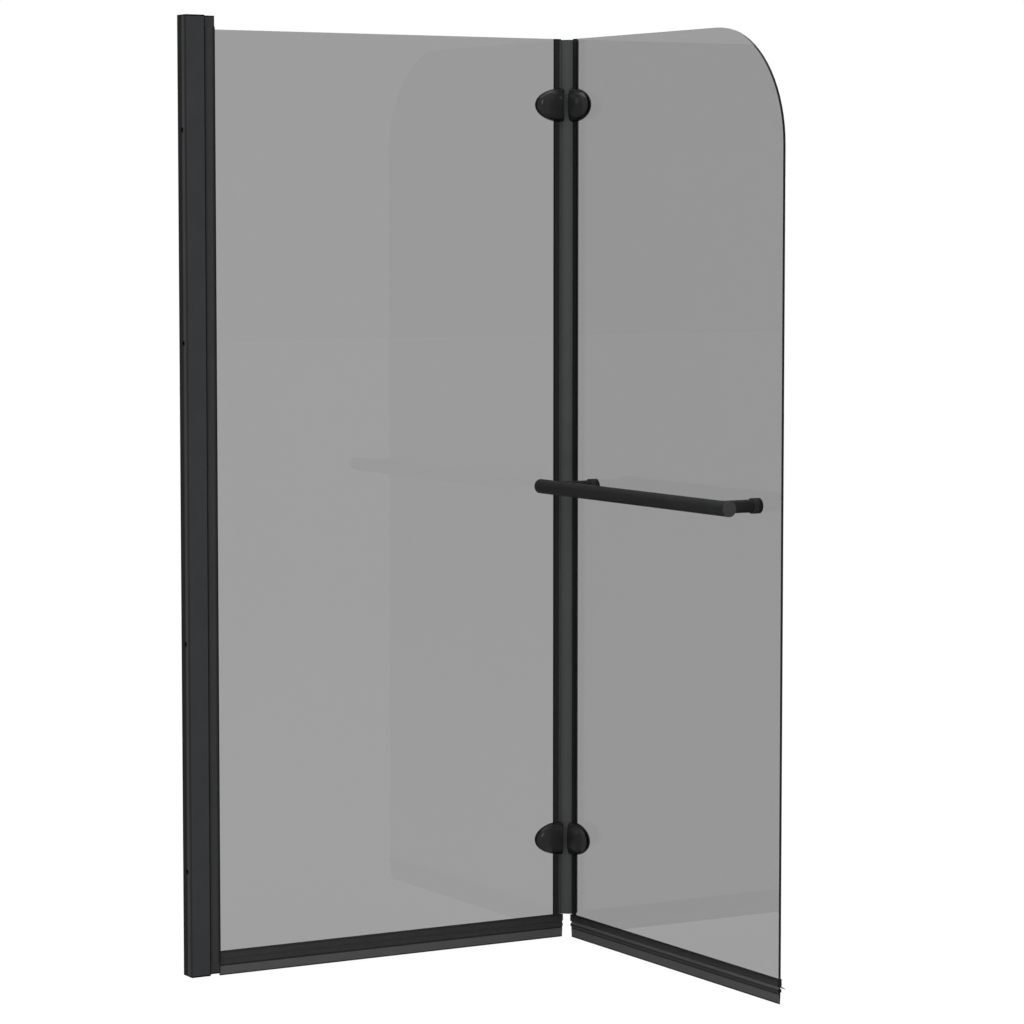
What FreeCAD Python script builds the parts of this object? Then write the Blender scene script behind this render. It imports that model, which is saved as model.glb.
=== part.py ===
import FreeCAD, Part
import math
import os
import re
import Sketcher

# A folding bath screen of two tinted glass panels.
# The wall panel swings on two pins in the wall profile, the folding panel on two oval hinges.
# Millimetres, Z up. The origin lies on the wall face, in the middle plane of the wall panel's
# glass, at the foot of the wall channel. X runs from the wall along the wall panel, and -Y is
# the bathroom side, to which the folding panel points at rest.

# Driving sizes, one named value each
SIZES = {
    # Wall channel and its screw holes
    "channel_height": 1400,
    "channel_width": 29,
    "channel_depth": 30,
    "channel_wall": 2,
    "channel_edge": 0.6,
    "wall_hole_radius": 2.5,
    "lowest_hole_inset": 155,
    "highest_hole_inset": 165,
    "lower_hole_share": 0.35,
    "upper_hole_share": 0.6625,
    # Sliding profile that takes up an uneven wall, and the screws that hold it
    "slide_fit": 0.3,
    "slide_back": 9,
    "slide_nose": 1.6,
    "slide_wall": 1.5,
    "slide_screw_radius": 1.7,
    "slide_screw_length": 7,
    "slide_screw_head_radius": 3.6,
    "slide_screw_head_height": 2,
    "slide_screw_inset": 200,
    "slide_screw_depth": 18,
    # Blocks that close the sliding profile and carry the pivot pins
    "block_inset": 0.6,
    "block_height": 15,
    "block_plate": 4,
    "block_plug": 12,
    "block_edge": 1.8,
    "pivot_gap": 0.6,
    "pivot_pin_radius": 2.5,
    "pin_in_block": 10,
    "pin_in_profile": 16,
    "washer_back": 5.5,
    "washer_edge": 2,
    # Turning profile that holds the wall panel's glass
    "wall_axis_x": 38.5,
    "profile_thickness": 12.5,
    "profile_reach": 11.5,
    "profile_edge": 0.5,
    "pocket_depth": 7.5,
    "gasket_wall": 1.2,
    "gasket_lip": 1,
    "gasket_lip_width": 1.6,
    # Glass
    "glass_thickness": 4,
    "glass_top_inset": 20,
    "glass_bottom": 22.5,
    "glass_gap": 18,
    "glass_arris": 0.4,
    "corner_radius": 170,
    # Place of the fold axis and outer end of the folding panel, from that axis
    "fold_axis_x": 651,
    "folding_width": 581,
    # Bottom seals, drawn across the panel
    "seal_top": 32,
    "seal_foot": 22,
    "seal_drop": 4,
    "seal_wall": 1.5,
    "seal_waist_height": 20.6,
    "seal_waist_foot": 18.4,
    "seal_waist_half": 1,
    "seal_bead_top": 17,
    "seal_bead_bottom": 13.8,
    "seal_bead_half": 3,
    "seal_blade_top": 11.8,
    "seal_blade_half": 1.1,
    "seal_lip_half": 0.6,
    "seal_start": 11.5,
    "seal_wall_gap": 0.3,
    "fin_reach": 10.3,
    "fin_root": 21.3,
    "fin_tip": 16.4,
    "fin_thickness": 0.8,
    "fin_mitre": 10,
    # Hinge strip: a clip on each glass edge and a soft round seal about the fold axis
    "wall_clip_reach": 29.2,
    "wall_clip_bath_reach": 22,
    "folding_clip_reach": 27.7,
    "clip_wall": 1.5,
    "bulb_radius": 16,
    "bulb_wall": 1.5,
    "bulb_foot_half": 2.4,
    "bulb_rise": 1.2,
    "bulb_top_drop": 1.3,
    # Oval hinges
    "lower_hinge_height": 151.5,
    "upper_hinge_inset": 100,
    "hinge_gap": 0.3,
    "cap_centre": 12,
    "cap_reach": 47.5,
    "cap_half_height": 25.75,
    "cap_rise": 14,
    "cap_wall": 1.8,
    "cap_mitre": 5.7,
    "cap_opening_rise": 6.3,
    "barrel_radius": 16,
    "knuckle_half_height": 12.2,
    "knuckle_gap": 0.2,
    "hinge_pin_radius": 3,
    "hinge_pin_proud": 0.6,
    "arm_reach": 17,
    "arm_back": 4,
    "pad_thickness": 1,
    "plate_thickness": 3,
    "plate_start": 19,
    "plate_end": 44,
    "plate_half_height": 14,
    "clamp_screw_radius": 2.45,
    "clamp_screw_head_radius": 4,
    "clamp_screw_head_height": 2.4,
    "clamp_screw_near": 26,
    "clamp_screw_far": 38,
    "glass_hole_radius": 4,
    # Towel bar and its posts
    "bar_height": 702.5,
    "bar_radius": 10.9,
    "bar_wall": 1.5,
    "bar_start": 42.5,
    "bar_end_inset": 19,
    "bar_stand_off": 76,
    "plug_rim": 2,
    "plug_depth": 9,
    "inner_post": 84,
    "outer_post_inset": 56,
    "post_radius": 9.25,
    "collar_radius": 11.2,
    "collar_length": 12.5,
    "collar_waist_radius": 10.2,
    "collar_waist_length": 1.4,
    "collar_bead_length": 2.6,
    "post_gasket": 0.8,
    "cup_radius": 6,
    "cup_neck_radius": 3.5,
    "cup_depth": 2.5,
    "screw_radius": 2.5,
    "screw_in_post": 16,
    "screw_head_radius": 4.9,
    "screw_head_depth": 2.4,
    "hex_socket_radius": 1.9,
    "hex_socket_depth": 1.6,
    "stud_radius": 2.5,
    "stud_in_post": 14,
    "stud_in_bar": 6,
    "rivet_nut_radius": 4,
    "rivet_nut_length": 7,
    # Clearances and the one overrun of all cuts
    "press_fit": 0.02,
    "running_fit": 0.05,
    "seat_fit": 0.1,
    "hinge_clearance": 0.3,
    "overrun": 5,
}

# Angles that turn the panels' own frames into the screen's frame
WALL_PANEL_TURN = 180
FOLDING_PANEL_TURN = -90
QUARTER_TURN = 90
HALF_TURN = 180
MITRE_ANGLE = 45

# Sizes worked out from the driving ones, in the sheet's own words
DERIVED = {
    "glass_top": "channel_height - glass_top_inset",
    "upper_hinge_height": "glass_top - upper_hinge_inset",
    "bar_end": "folding_width - bar_end_inset",
    "outer_post": "folding_width - outer_post_inset",
    "glass_half": "glass_thickness / 2",
    "clip_inner": "glass_half + running_fit",
    "clip_half": "glass_half + clip_wall",
    "strip_bottom": "seal_top + seat_fit",
    "seal_half": "glass_half + seal_wall",
    "profile_half": "profile_thickness / 2",
    "profile_front": "wall_axis_x + profile_reach",
    "pocket_floor": "profile_front - pocket_depth",
    "pocket_half": "glass_half + gasket_wall + running_fit",
    "wall_glass_edge": "pocket_floor + gasket_wall + running_fit",
    "slide_half": "channel_width / 2 - channel_wall - slide_fit",
    "slide_front": "channel_depth + slide_nose",
    "profile_bottom": "block_inset + block_height + pivot_gap",
    "profile_length": "channel_height - 2 * profile_bottom",
    "slide_length": "channel_height - 2 * block_inset - 2 * block_plate",
    "wall_seal_end": "fold_axis_x - profile_front - gasket_lip - seal_wall_gap",
    "wall_glass_width": "fold_axis_x - wall_glass_edge",
    "glass_height": "glass_top - glass_bottom",
    "plate_face": "glass_half + pad_thickness",
    "hinge_half_gap": "cap_half_height + hinge_gap",
    "barrel_half_height": "cap_half_height + hinge_gap",
    "arm_half_height": "cap_half_height - hinge_gap",
    "knuckle_foot": "knuckle_half_height + knuckle_gap",
    "bulb_top": "glass_top - bulb_top_drop",
    "bulb_bottom": "strip_bottom + bulb_rise",
    "clip_start": "glass_gap - clip_wall",
    "post_start": "glass_half + post_gasket",
    "post_end": "bar_stand_off - sqrt((bar_radius + seat_fit) ^ 2 - post_radius ^ 2)",
    "bar_back": "bar_stand_off - sqrt(bar_radius ^ 2 - rivet_nut_radius ^ 2)",
}

doc = FreeCAD.newDocument("BathScreen")
sheet = doc.addObject("Spreadsheet::Sheet", "Sizes")


def in_sheet(expression):
    """Return the expression with the sheet's name before each of its named sizes."""
    def with_sheet(word):
        name = word.group()
        return "Sizes." + name if name in SIZES or name in DERIVED else name
    return re.sub(r"[a-z_]+", with_sheet, expression)


def fill_sheet():
    """Write the driving sizes as plain numbers and the worked-out ones as formulas."""
    for row, (name, number) in enumerate(SIZES.items(), start=1):
        sheet.set("A%d" % row, name)
        sheet.set("B%d" % row, str(number))
        sheet.setAlias("B%d" % row, name)
    doc.recompute()
    first = len(SIZES) + 1
    for row, (name, formula) in enumerate(DERIVED.items(), start=first):
        sheet.set("A%d" % row, name)
        sheet.set("B%d" % row, "=" + formula)
        sheet.setAlias("B%d" % row, name)
        doc.recompute()


def bind(item, **sizes):
    """Tie properties to expressions; a double underscore stands for the dot in a name."""
    for name, expression in sizes.items():
        item.setExpression(name.replace("__", "."), in_sheet(expression))


def move(item, x="0", y="0", z="0"):
    """Tie the place of an item to three expressions."""
    bind(item, Placement__Base__x=x, Placement__Base__y=y, Placement__Base__z=z)


def box(name, low, extent):
    """Return a box from its lowest corner and its extent, each three expressions."""
    item = doc.addObject("Part::Box", name)
    bind(item, Length=extent[0], Width=extent[1], Height=extent[2])
    move(item, *low)
    return item


def rod(name, axis, radius, length, start):
    """Return a round rod that runs from start along the positive x, y or z axis."""
    turns = {
        "x": FreeCAD.Rotation(FreeCAD.Vector(0, 1, 0), QUARTER_TURN),
        "y": FreeCAD.Rotation(FreeCAD.Vector(1, 0, 0), -QUARTER_TURN),
        "z": FreeCAD.Rotation(),
    }
    item = doc.addObject("Part::Cylinder", name)
    item.Placement = FreeCAD.Placement(FreeCAD.Vector(), turns[axis])
    bind(item, Radius=radius, Height=length)
    move(item, *start)
    return item


def fuse(name, *pieces):
    """Return one solid made of pieces that meet."""
    item = doc.addObject("Part::MultiFuse", name)
    item.Shapes = list(pieces)
    item.Refine = True
    return item


def group(name, *pieces):
    """Return separate solids that share one node."""
    item = doc.addObject("Part::Compound", name)
    item.Links = list(pieces)
    return item


def cut(name, base, *tools):
    """Return the base without the tools."""
    item = doc.addObject("Part::Cut", name)
    item.Base = base
    item.Tool = tools[0] if len(tools) == 1 else group(name + "_tools", *tools)
    item.Refine = True
    return item


def common(name, *pieces):
    """Return what the pieces have in common."""
    item = doc.addObject("Part::MultiCommon", name)
    item.Shapes = list(pieces)
    item.Refine = True
    return item


def rounded(name, base, radius, is_edge):
    """Return the base with a fillet on every edge that the test accepts."""
    doc.recompute()
    item = doc.addObject("Part::Fillet", name)
    item.Base = base
    size = float(sheet.get(radius))
    edges = [number for number, edge in enumerate(base.Shape.Edges, start=1) if is_edge(edge)]
    item.Edges = [(number, size, size) for number in edges]
    return item


def dress_edges(body, kind, name, property_name, size, is_edge):
    """Add a fillet or chamfer to a body, on every edge that the test accepts."""
    doc.recompute()
    tip = body.Tip
    edges = enumerate(tip.Shape.Edges, start=1)
    names = ["Edge%d" % number for number, edge in edges if is_edge(edge)]
    dressing = body.newObject(kind, name)
    dressing.Base = (tip, names)
    bind(dressing, **{property_name: size})
    return dressing


def body_plane(body, role):
    """Return one of a body's own origin planes."""
    return next(feature for feature in body.Origin.OriginFeatures if feature.Role == role)


def sketch_on(body, name, role):
    """Start a sketch on one of a body's own origin planes."""
    sketch = body.newObject("Sketcher::SketchObject", name)
    sketch.AttachmentSupport = (body_plane(body, role), [""])
    sketch.MapMode = "FlatFace"
    return sketch


def hold(sketch, kind, *where, at):
    """Add one constraint to a sketch and tie its value to an expression."""
    number = sketch.addConstraint(Sketcher.Constraint(kind, *where, 1.0))
    sketch.setExpression("Constraints[%d]" % number, in_sheet(at))


def outline(body, name, role, corners):
    """Draw a closed outline through corners that are pairs of expressions."""
    sketch = sketch_on(body, name, role)
    count = len(corners)
    step = 2 * math.pi / count
    ring = [FreeCAD.Vector(math.cos(step * turn), math.sin(step * turn), 0) for turn in range(count)]
    for index in range(count):
        sketch.addGeometry(Part.LineSegment(ring[index], ring[(index + 1) % count]), False)
    for index in range(count):
        sketch.addConstraint(Sketcher.Constraint("Coincident", index, 2, (index + 1) % count, 1))
    for index, (across, up) in enumerate(corners):
        hold(sketch, "DistanceX", index, 1, at=across)
        hold(sketch, "DistanceY", index, 1, at=up)
    return sketch


def circles(body, name, role, centres, radius):
    """Draw equal circles at centres that are pairs of expressions."""
    sketch = sketch_on(body, name, role)
    for across, up in centres:
        number = sketch.addGeometry(Part.Circle(FreeCAD.Vector(), FreeCAD.Vector(0, 0, 1), 1.0), False)
        hold(sketch, "Radius", number, at=radius)
        hold(sketch, "DistanceX", number, 3, at=across)
        hold(sketch, "DistanceY", number, 3, at=up)
    return sketch


def pad(body, sketch, length, both_ways=False, reverse=False):
    """Thicken a sketch into a solid."""
    item = body.newObject("PartDesign::Pad", sketch.Name + "_pad")
    item.Profile = sketch
    item.SideType = "Symmetric" if both_ways else "One side"
    item.Reversed = reverse
    bind(item, Length=length)
    return item


def pocket(body, sketch, reverse=False):
    """Cut a sketch through a body, both ways unless a way is given, and see that it cuts."""
    doc.recompute()
    before = body.Shape.Volume
    item = body.newObject("PartDesign::Pocket", sketch.Name + "_pocket")
    item.Profile = sketch
    item.Type = "ThroughAll"
    item.SideType = "Symmetric"
    item.Reversed = reverse
    doc.recompute()
    if body.Shape.Volume >= before:
        raise ValueError(item.Name + " cuts nothing")
    return item


def new_body(name):
    """Return an empty body that carries its node's name."""
    return doc.addObject("PartDesign::Body", name)


def seat(item, turn, height="0", flipped=False):
    """Set an item drawn in a panel's own frame onto the fold axis.

    There x runs away from the fold axis along the panel and y across it. Flipped turns the
    item about its own x, so that it lies on the glass's other face.
    """
    about_z = FreeCAD.Rotation(FreeCAD.Vector(0, 0, 1), turn)
    about_x = FreeCAD.Rotation(FreeCAD.Vector(1, 0, 0), HALF_TURN if flipped else 0)
    item.Placement = FreeCAD.Placement(FreeCAD.Vector(), about_z.multiply(about_x))
    move(item, "fold_axis_x", "0", height)
    return item


def same(one, other):
    """Say whether two lengths are equal, but for rounding."""
    return math.isclose(one, other, rel_tol=1e-7)


def stands_along_z(edge):
    """Say whether an edge is straight and upright."""
    if edge.Curve.TypeId != "Part::GeomLine":
        return False
    return abs(edge.tangentAt(edge.FirstParameter).z) > math.cos(math.radians(MITRE_ANGLE))


# Wall channel, sliding profile and end blocks

def wall_channel():
    """A U with its web on the wall, four screw holes in the web and three in the hidden side."""
    body = new_body("channel_profile")
    half = "channel_width / 2"
    inner = "channel_width / 2 - channel_wall"
    corners = [
        ("0", "-" + half), ("channel_depth", "-" + half),
        ("channel_depth", "channel_wall - " + half), ("channel_wall", "channel_wall - " + half),
        ("channel_wall", inner), ("channel_depth", inner),
        ("channel_depth", half), ("0", half),
    ]
    pad(body, outline(body, "channel_section", "XY_Plane", corners), "channel_height")
    holes = [
        ("0", "lowest_hole_inset"), ("0", "lower_hole_share * channel_height"),
        ("0", "upper_hole_share * channel_height"), ("0", "channel_height - highest_hole_inset"),
    ]
    pocket(body, circles(body, "wall_holes", "YZ_Plane", holes, "wall_hole_radius"))
    outer = float(sheet.channel_width) / 2
    dress_edges(body, "PartDesign::Fillet", "channel_edges", "Radius", "channel_edge", lambda edge: (
        stands_along_z(edge) and same(abs(edge.CenterOfMass.y), outer)))
    side_holes = slide_screw_places("channel_hole", "slide_screw_radius + running_fit")
    channel = cut("wall_channel", body, *side_holes)
    channel.Label = "wall_channel"
    return channel


def slide_screw_heights():
    """Return the heights of the three screws of the sliding profile."""
    return ["slide_screw_inset", "channel_height / 2", "channel_height - slide_screw_inset"]


def slide_screw_places(name, radius):
    """Return three rods across the channel's hidden wall, where the sliding profile's screws go."""
    start = "channel_width / 2 - slide_screw_length"
    length = "slide_screw_length + overrun"
    return [
        rod("%s_%d" % (name, number), "y", radius, length, ("slide_screw_depth", start, height))
        for number, height in enumerate(slide_screw_heights(), start=1)
    ]


def sliding_profile():
    """A rectangular tube that slides in the channel and shows a narrow nose before it."""
    outer = box("slide_outer", ("slide_back", "-slide_half", "block_inset + block_plate"),
                ("slide_front - slide_back", "2 * slide_half", "slide_length"))
    bore = box("slide_bore", ("slide_back + slide_wall", "slide_wall - slide_half", "-overrun"),
               ("slide_front - slide_back - 2 * slide_wall", "2 * (slide_half - slide_wall)",
                "channel_height + 2 * overrun"))
    holes = slide_screw_places("slide_hole", "slide_screw_radius + running_fit")
    item = cut("sliding_profile", outer, bore, *holes)
    item.Label = "sliding_profile"
    return item


def slide_screws():
    """Three self-tapping screws with low round heads on the channel's bath side."""
    screws = []
    for number, height in enumerate(slide_screw_heights(), start=1):
        shank = rod("slide_shank_%d" % number, "y", "slide_screw_radius",
                    "slide_screw_length + slide_screw_head_height / 2",
                    ("slide_screw_depth", "channel_width / 2 - slide_screw_length", height))
        head = rod("slide_head_%d" % number, "y", "slide_screw_head_radius",
                   "slide_screw_head_height", ("slide_screw_depth", "channel_width / 2", height))
        screw = fuse("slide_screw_%d" % number, shank, head)
        top = float(sheet.channel_width) / 2 + float(sheet.slide_screw_head_height)
        screws.append(rounded("slide_screw_round_%d" % number, screw, "channel_edge",
                              lambda edge, top=top: same(edge.BoundBox.YMin, top)))
    item = group("slide_screws", *screws)
    item.Label = "slide_screws"
    return item


def end_block(name):
    """A plug for the sliding profile's end, with a nose that carries the pivot pin."""
    plate = box(name + "_plate", ("slide_back", "-slide_half", "0"),
                ("slide_front - slide_back", "2 * slide_half", "block_plate"))
    plug = box(name + "_plug",
               ("slide_back + slide_wall + seat_fit", "slide_wall + seat_fit - slide_half", "0"),
               ("slide_front - slide_back - 2 * (slide_wall + seat_fit)",
                "2 * (slide_half - slide_wall - seat_fit)", "block_plate + block_plug"))
    nose = box(name + "_nose", ("slide_front", "-profile_half", "0"),
               ("profile_front - slide_front", "profile_thickness", "block_height"))
    root = box(name + "_root", ("slide_front - slide_wall", "-profile_half", "0"),
               ("slide_wall", "profile_thickness", "block_plate"))
    bore = rod(name + "_bore", "z", "pivot_pin_radius + press_fit", "pin_in_block + overrun",
               ("wall_axis_x", "0", "block_height - pin_in_block"))
    plain = cut(name + "_plain", fuse(name + "_solid", plate, plug, root, nose), bore)
    doc.recompute()
    front = float(sheet.profile_front)
    return rounded(name + "_form", plain, "block_edge", lambda edge: (
        stands_along_z(edge) and same(edge.CenterOfMass.x, front)))


def bottom_end_block():
    """The block at the foot."""
    item = group("bottom_end_block", end_block("bottom_block"))
    move(item, z="block_inset")
    item.Label = "bottom_end_block"
    return item


def top_end_block():
    """The block at the head: the same block upside down."""
    item = group("top_end_block", end_block("top_block"))
    turn = FreeCAD.Rotation(FreeCAD.Vector(1, 0, 0), HALF_TURN)
    item.Placement = FreeCAD.Placement(FreeCAD.Vector(), turn)
    move(item, z="channel_height - block_inset")
    item.Label = "top_end_block"
    return item


def pivot_pins():
    """A steel pin at each end, pressed into its block and running in the turning profile."""
    length = "pin_in_block + pivot_gap + pin_in_profile"
    bottom = rod("bottom_pivot_pin", "z", "pivot_pin_radius", length,
                 ("wall_axis_x", "0", "block_inset + block_height - pin_in_block"))
    top = rod("top_pivot_pin", "z", "pivot_pin_radius", length,
              ("wall_axis_x", "0", "profile_bottom + profile_length - pin_in_profile"))
    for item in (bottom, top):
        item.Label = item.Name
    return [bottom, top]


def pivot_washers():
    """A slippery washer in each gap between block and turning profile, as wide as both."""
    washers = []
    places = {
        "bottom_pivot_washer": "block_inset + block_height",
        "top_pivot_washer": "profile_bottom + profile_length",
    }
    half = float(sheet.profile_half)
    for name, height in places.items():
        plate = box(name + "_plate", ("wall_axis_x - washer_back", "-profile_half", height),
                    ("washer_back + profile_reach", "profile_thickness", "pivot_gap"))
        hole = rod(name + "_hole", "z", "pivot_pin_radius + running_fit",
                   "pivot_gap + 2 * overrun", ("wall_axis_x", "0", height + " - overrun"))
        plain = cut(name + "_plain", plate, hole)
        doc.recompute()
        item = rounded(name, plain, "washer_edge", lambda edge: (
            stands_along_z(edge) and same(abs(edge.CenterOfMass.y), half)))
        item.Label = name
        washers.append(item)
    return washers


# Wall panel: turning profile, gasket and glass

def turning_profile():
    """A slim profile with a round back about the wall axis, a pin port and a glass pocket."""
    height = "profile_length"
    back = rod("turning_back", "z", "profile_half", height, ("wall_axis_x", "0", "profile_bottom"))
    flank = box("turning_flank", ("wall_axis_x", "-profile_half", "profile_bottom"),
                ("profile_reach", "profile_thickness", height))
    port = rod("turning_port", "z", "pivot_pin_radius + running_fit", "profile_length + 2 * overrun",
               ("wall_axis_x", "0", "profile_bottom - overrun"))
    slot = box("turning_slot", ("pocket_floor", "-pocket_half", "profile_bottom - overrun"),
               ("pocket_depth + overrun", "2 * pocket_half", "profile_length + 2 * overrun"))
    plain = cut("turning_plain", fuse("turning_solid", back, flank), port, slot)
    doc.recompute()
    front = float(sheet.profile_front)
    half = float(sheet.profile_half)
    item = rounded("turning_profile", plain, "profile_edge", lambda edge: (
        stands_along_z(edge) and same(edge.CenterOfMass.x, front)
        and same(abs(edge.CenterOfMass.y), half)))
    item.Label = "turning_profile"
    return item


def glazing_gasket():
    """A U of rubber that lines the pocket, with lips that cover the profile's front."""
    body = new_body("glazing_gasket")
    outer = "(glass_half + gasket_wall)"
    lip = "(" + outer + " + gasket_lip_width)"
    front = "(profile_front + gasket_lip)"
    corners = [
        ("pocket_floor", "-" + outer), ("profile_front", "-" + outer), ("profile_front", "-" + lip),
        (front, "-" + lip), (front, "-clip_inner"), ("wall_glass_edge", "-clip_inner"),
        ("wall_glass_edge", "clip_inner"), (front, "clip_inner"), (front, lip),
        ("profile_front", lip), ("profile_front", outer), ("pocket_floor", outer),
    ]
    pad(body, outline(body, "gasket_section", "XY_Plane", corners), "profile_length")
    move(body, z="profile_bottom")
    return body


def screw_pairs():
    """Return the centres of the hinge screws in a panel's own frame."""
    return [
        (place, height)
        for height in ("lower_hinge_height", "upper_hinge_height")
        for place in ("clamp_screw_near", "clamp_screw_far")
    ]


def glass_sheet(name, far_edge):
    """A flat sheet from the fold gap to its far edge, with holes for the hinge screws."""
    body = new_body(name)
    corners = [
        ("glass_gap", "glass_bottom"), (far_edge, "glass_bottom"),
        (far_edge, "glass_top"), ("glass_gap", "glass_top"),
    ]
    pad(body, outline(body, name + "_outline", "XZ_Plane", corners), "glass_thickness", both_ways=True)
    pocket(body, circles(body, name + "_hinge_holes", "XZ_Plane", screw_pairs(), "glass_hole_radius"))
    return body


def grind_arris(body, name):
    """Take the sharp edges off a sheet's outline on both faces."""
    half = float(sheet.glass_half)
    dress_edges(body, "PartDesign::Chamfer", name, "Size", "glass_arris", lambda edge: (
        same(abs(edge.CenterOfMass.y), half) and not edge.Closed))


def wall_glass():
    """The wall panel's glass."""
    body = glass_sheet("wall_glass", "wall_glass_width")
    grind_arris(body, "wall_glass_arris")
    return seat(body, WALL_PANEL_TURN)


def countersink(name, place, wide, narrow, depth, neck_end, clearance="0", beyond="0"):
    """A round form across the panel, wide at the glass's bath face and narrow beyond a depth.

    The clearance widens it all over, and beyond carries its cone out past the bath face.
    """
    slope = "(%s - %s) / %s" % (wide, narrow, depth)
    cone = doc.addObject("Part::Cone", name + "_cone")
    cone.Placement = FreeCAD.Placement(
        FreeCAD.Vector(), FreeCAD.Rotation(FreeCAD.Vector(1, 0, 0), -QUARTER_TURN))
    bind(cone, Radius1="%s + %s" % (narrow, clearance), Height="%s + %s" % (depth, beyond),
         Radius2="%s + %s + %s * %s" % (wide, clearance, slope, beyond))
    move(cone, place, "glass_half - " + depth, "bar_height")
    neck = rod(name + "_neck", "y", "%s + %s" % (narrow, clearance),
               "glass_half - %s / 2 - (%s)" % (depth, neck_end), (place, neck_end, "bar_height"))
    return fuse(name, cone, neck)


def folding_glass():
    """The folding panel's glass, with a large round outer corner and holes for the posts."""
    body = glass_sheet("folding_glass_plain", "folding_width")
    width = float(sheet.folding_width)
    top = float(sheet.glass_top)
    dress_edges(body, "PartDesign::Fillet", "folding_glass_corner", "Radius", "corner_radius",
                lambda edge: same(edge.CenterOfMass.x, width) and same(edge.CenterOfMass.z, top))
    grind_arris(body, "folding_glass_arris")
    holes = [
        countersink("glass_hole_" + place, place, "cup_radius", "cup_neck_radius", "cup_depth",
                    "-glass_half - overrun", clearance="seat_fit", beyond="overrun")
        for place in ("inner_post", "outer_post")
    ]
    item = cut("folding_glass", body, *holes)
    item.Label = "folding_glass"
    return seat(item, FOLDING_PANEL_TURN)


# Bottom seals

def bottom_seal(name, far_end, turn, bath_side):
    """A rubber seal: a clip on the glass, a bead, a wiping blade and a drip fin on the bath side."""
    body = new_body(name)
    half_section = [
        ("clip_inner", "seal_top"), ("seal_half", "seal_top"), ("seal_half", "seal_foot"),
        ("seal_waist_half", "seal_waist_height"), ("seal_waist_half", "seal_waist_foot"),
        ("seal_bead_half", "seal_bead_top"),
        ("seal_bead_half", "seal_bead_bottom"), ("seal_blade_half", "seal_blade_top"),
        ("seal_lip_half", "-seal_drop"),
    ]
    mirrored = [("-" + across, up) for across, up in reversed(half_section)]
    corners = half_section + mirrored + [("-clip_inner", "glass_bottom"), ("clip_inner", "glass_bottom")]
    length = far_end + " - seal_start"
    section = outline(body, name + "_section", "YZ_Plane", corners)
    bind(section, AttachmentOffset__Base__z="seal_start")
    pad(body, section, length)
    sign = "" if bath_side > 0 else "-"
    fin_corners = [
        (sign + "seal_waist_half", "fin_root - fin_thickness"), (sign + "fin_reach", "fin_tip"),
        (sign + "fin_reach", "fin_tip + fin_thickness"), (sign + "seal_waist_half", "seal_foot"),
    ]
    fin = outline(body, name + "_fin", "YZ_Plane", fin_corners)
    bind(fin, AttachmentOffset__Base__z="seal_start + fin_mitre")
    pad(body, fin, length + " - fin_mitre - " + ("fin_mitre / 2" if turn == WALL_PANEL_TURN else "0"))
    return seat(body, turn)


def wall_bottom_seal():
    """The seal under the wall panel."""
    return bottom_seal("wall_bottom_seal", "wall_seal_end", WALL_PANEL_TURN, bath_side=-1)


def folding_bottom_seal():
    """The seal under the folding panel."""
    return bottom_seal("folding_bottom_seal", "folding_width", FOLDING_PANEL_TURN, bath_side=1)


# Hinge strip, in three lengths below, between and above the hinges

def strip_lengths(bottom, top, gap):
    """Return each length's name, foot and height for a strip that the hinges interrupt."""
    return [
        ("lower", bottom, "lower_hinge_height - %s - (%s)" % (gap, bottom)),
        ("middle", "lower_hinge_height + " + gap,
         "upper_hinge_height - lower_hinge_height - 2 * " + gap),
        ("upper", "upper_hinge_height + " + gap, "(%s) - upper_hinge_height - %s" % (top, gap)),
    ]


def cap_room(name, height):
    """An upright oval a little larger than the hinge's caps, at a height above a clip's foot."""
    oval = doc.addObject("Part::Ellipsoid", name)
    bind(oval, Radius1="cap_half_height + seat_fit", Radius2="cap_reach + seat_fit",
         Radius3="8 * cap_rise")
    oval.Angle1 = -QUARTER_TURN
    oval.Angle2 = QUARTER_TURN
    move(oval, "cap_centre", "0", height)
    return oval


def clip_section(room, reach, bath_reach):
    """Return the corners of a clip's section, with its longer leg on the room side.

    Without a bath reach it has no leg there and ends flush with the glass.
    """
    bath = "-" if room == "" else ""
    room_leg = [
        ("glass_gap", room + "clip_inner"), (reach, room + "clip_inner"),
        (reach, room + "clip_half"), ("clip_start", room + "clip_half"),
    ]
    if bath_reach is None:
        return [("clip_start", bath + "glass_half"), ("glass_gap", bath + "glass_half")] + room_leg
    return [
        ("clip_start", bath + "clip_half"), (bath_reach, bath + "clip_half"),
        (bath_reach, bath + "clip_inner"), ("glass_gap", bath + "clip_inner"),
    ] + room_leg


def edge_clips(panel, turn, corners):
    """Stiff clips on the glass edge beside the fold, cut to the hinge caps' oval."""
    clips = []
    for place, foot, height in strip_lengths("strip_bottom", "glass_top", "0"):
        name = "%s_edge_clip_%s" % (panel, place)
        body = new_body(name + "_length")
        pad(body, outline(body, name + "_section", "XY_Plane", corners), height)
        ends = {"lower": [height], "middle": ["0", height], "upper": ["0"]}[place]
        rooms = [cap_room("%s_room_%d" % (name, number), end) for number, end in enumerate(ends, start=1)]
        item = cut(name, body, *rooms)
        item.Label = name
        clips.append(seat(item, turn, foot))
    return clips


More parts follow.
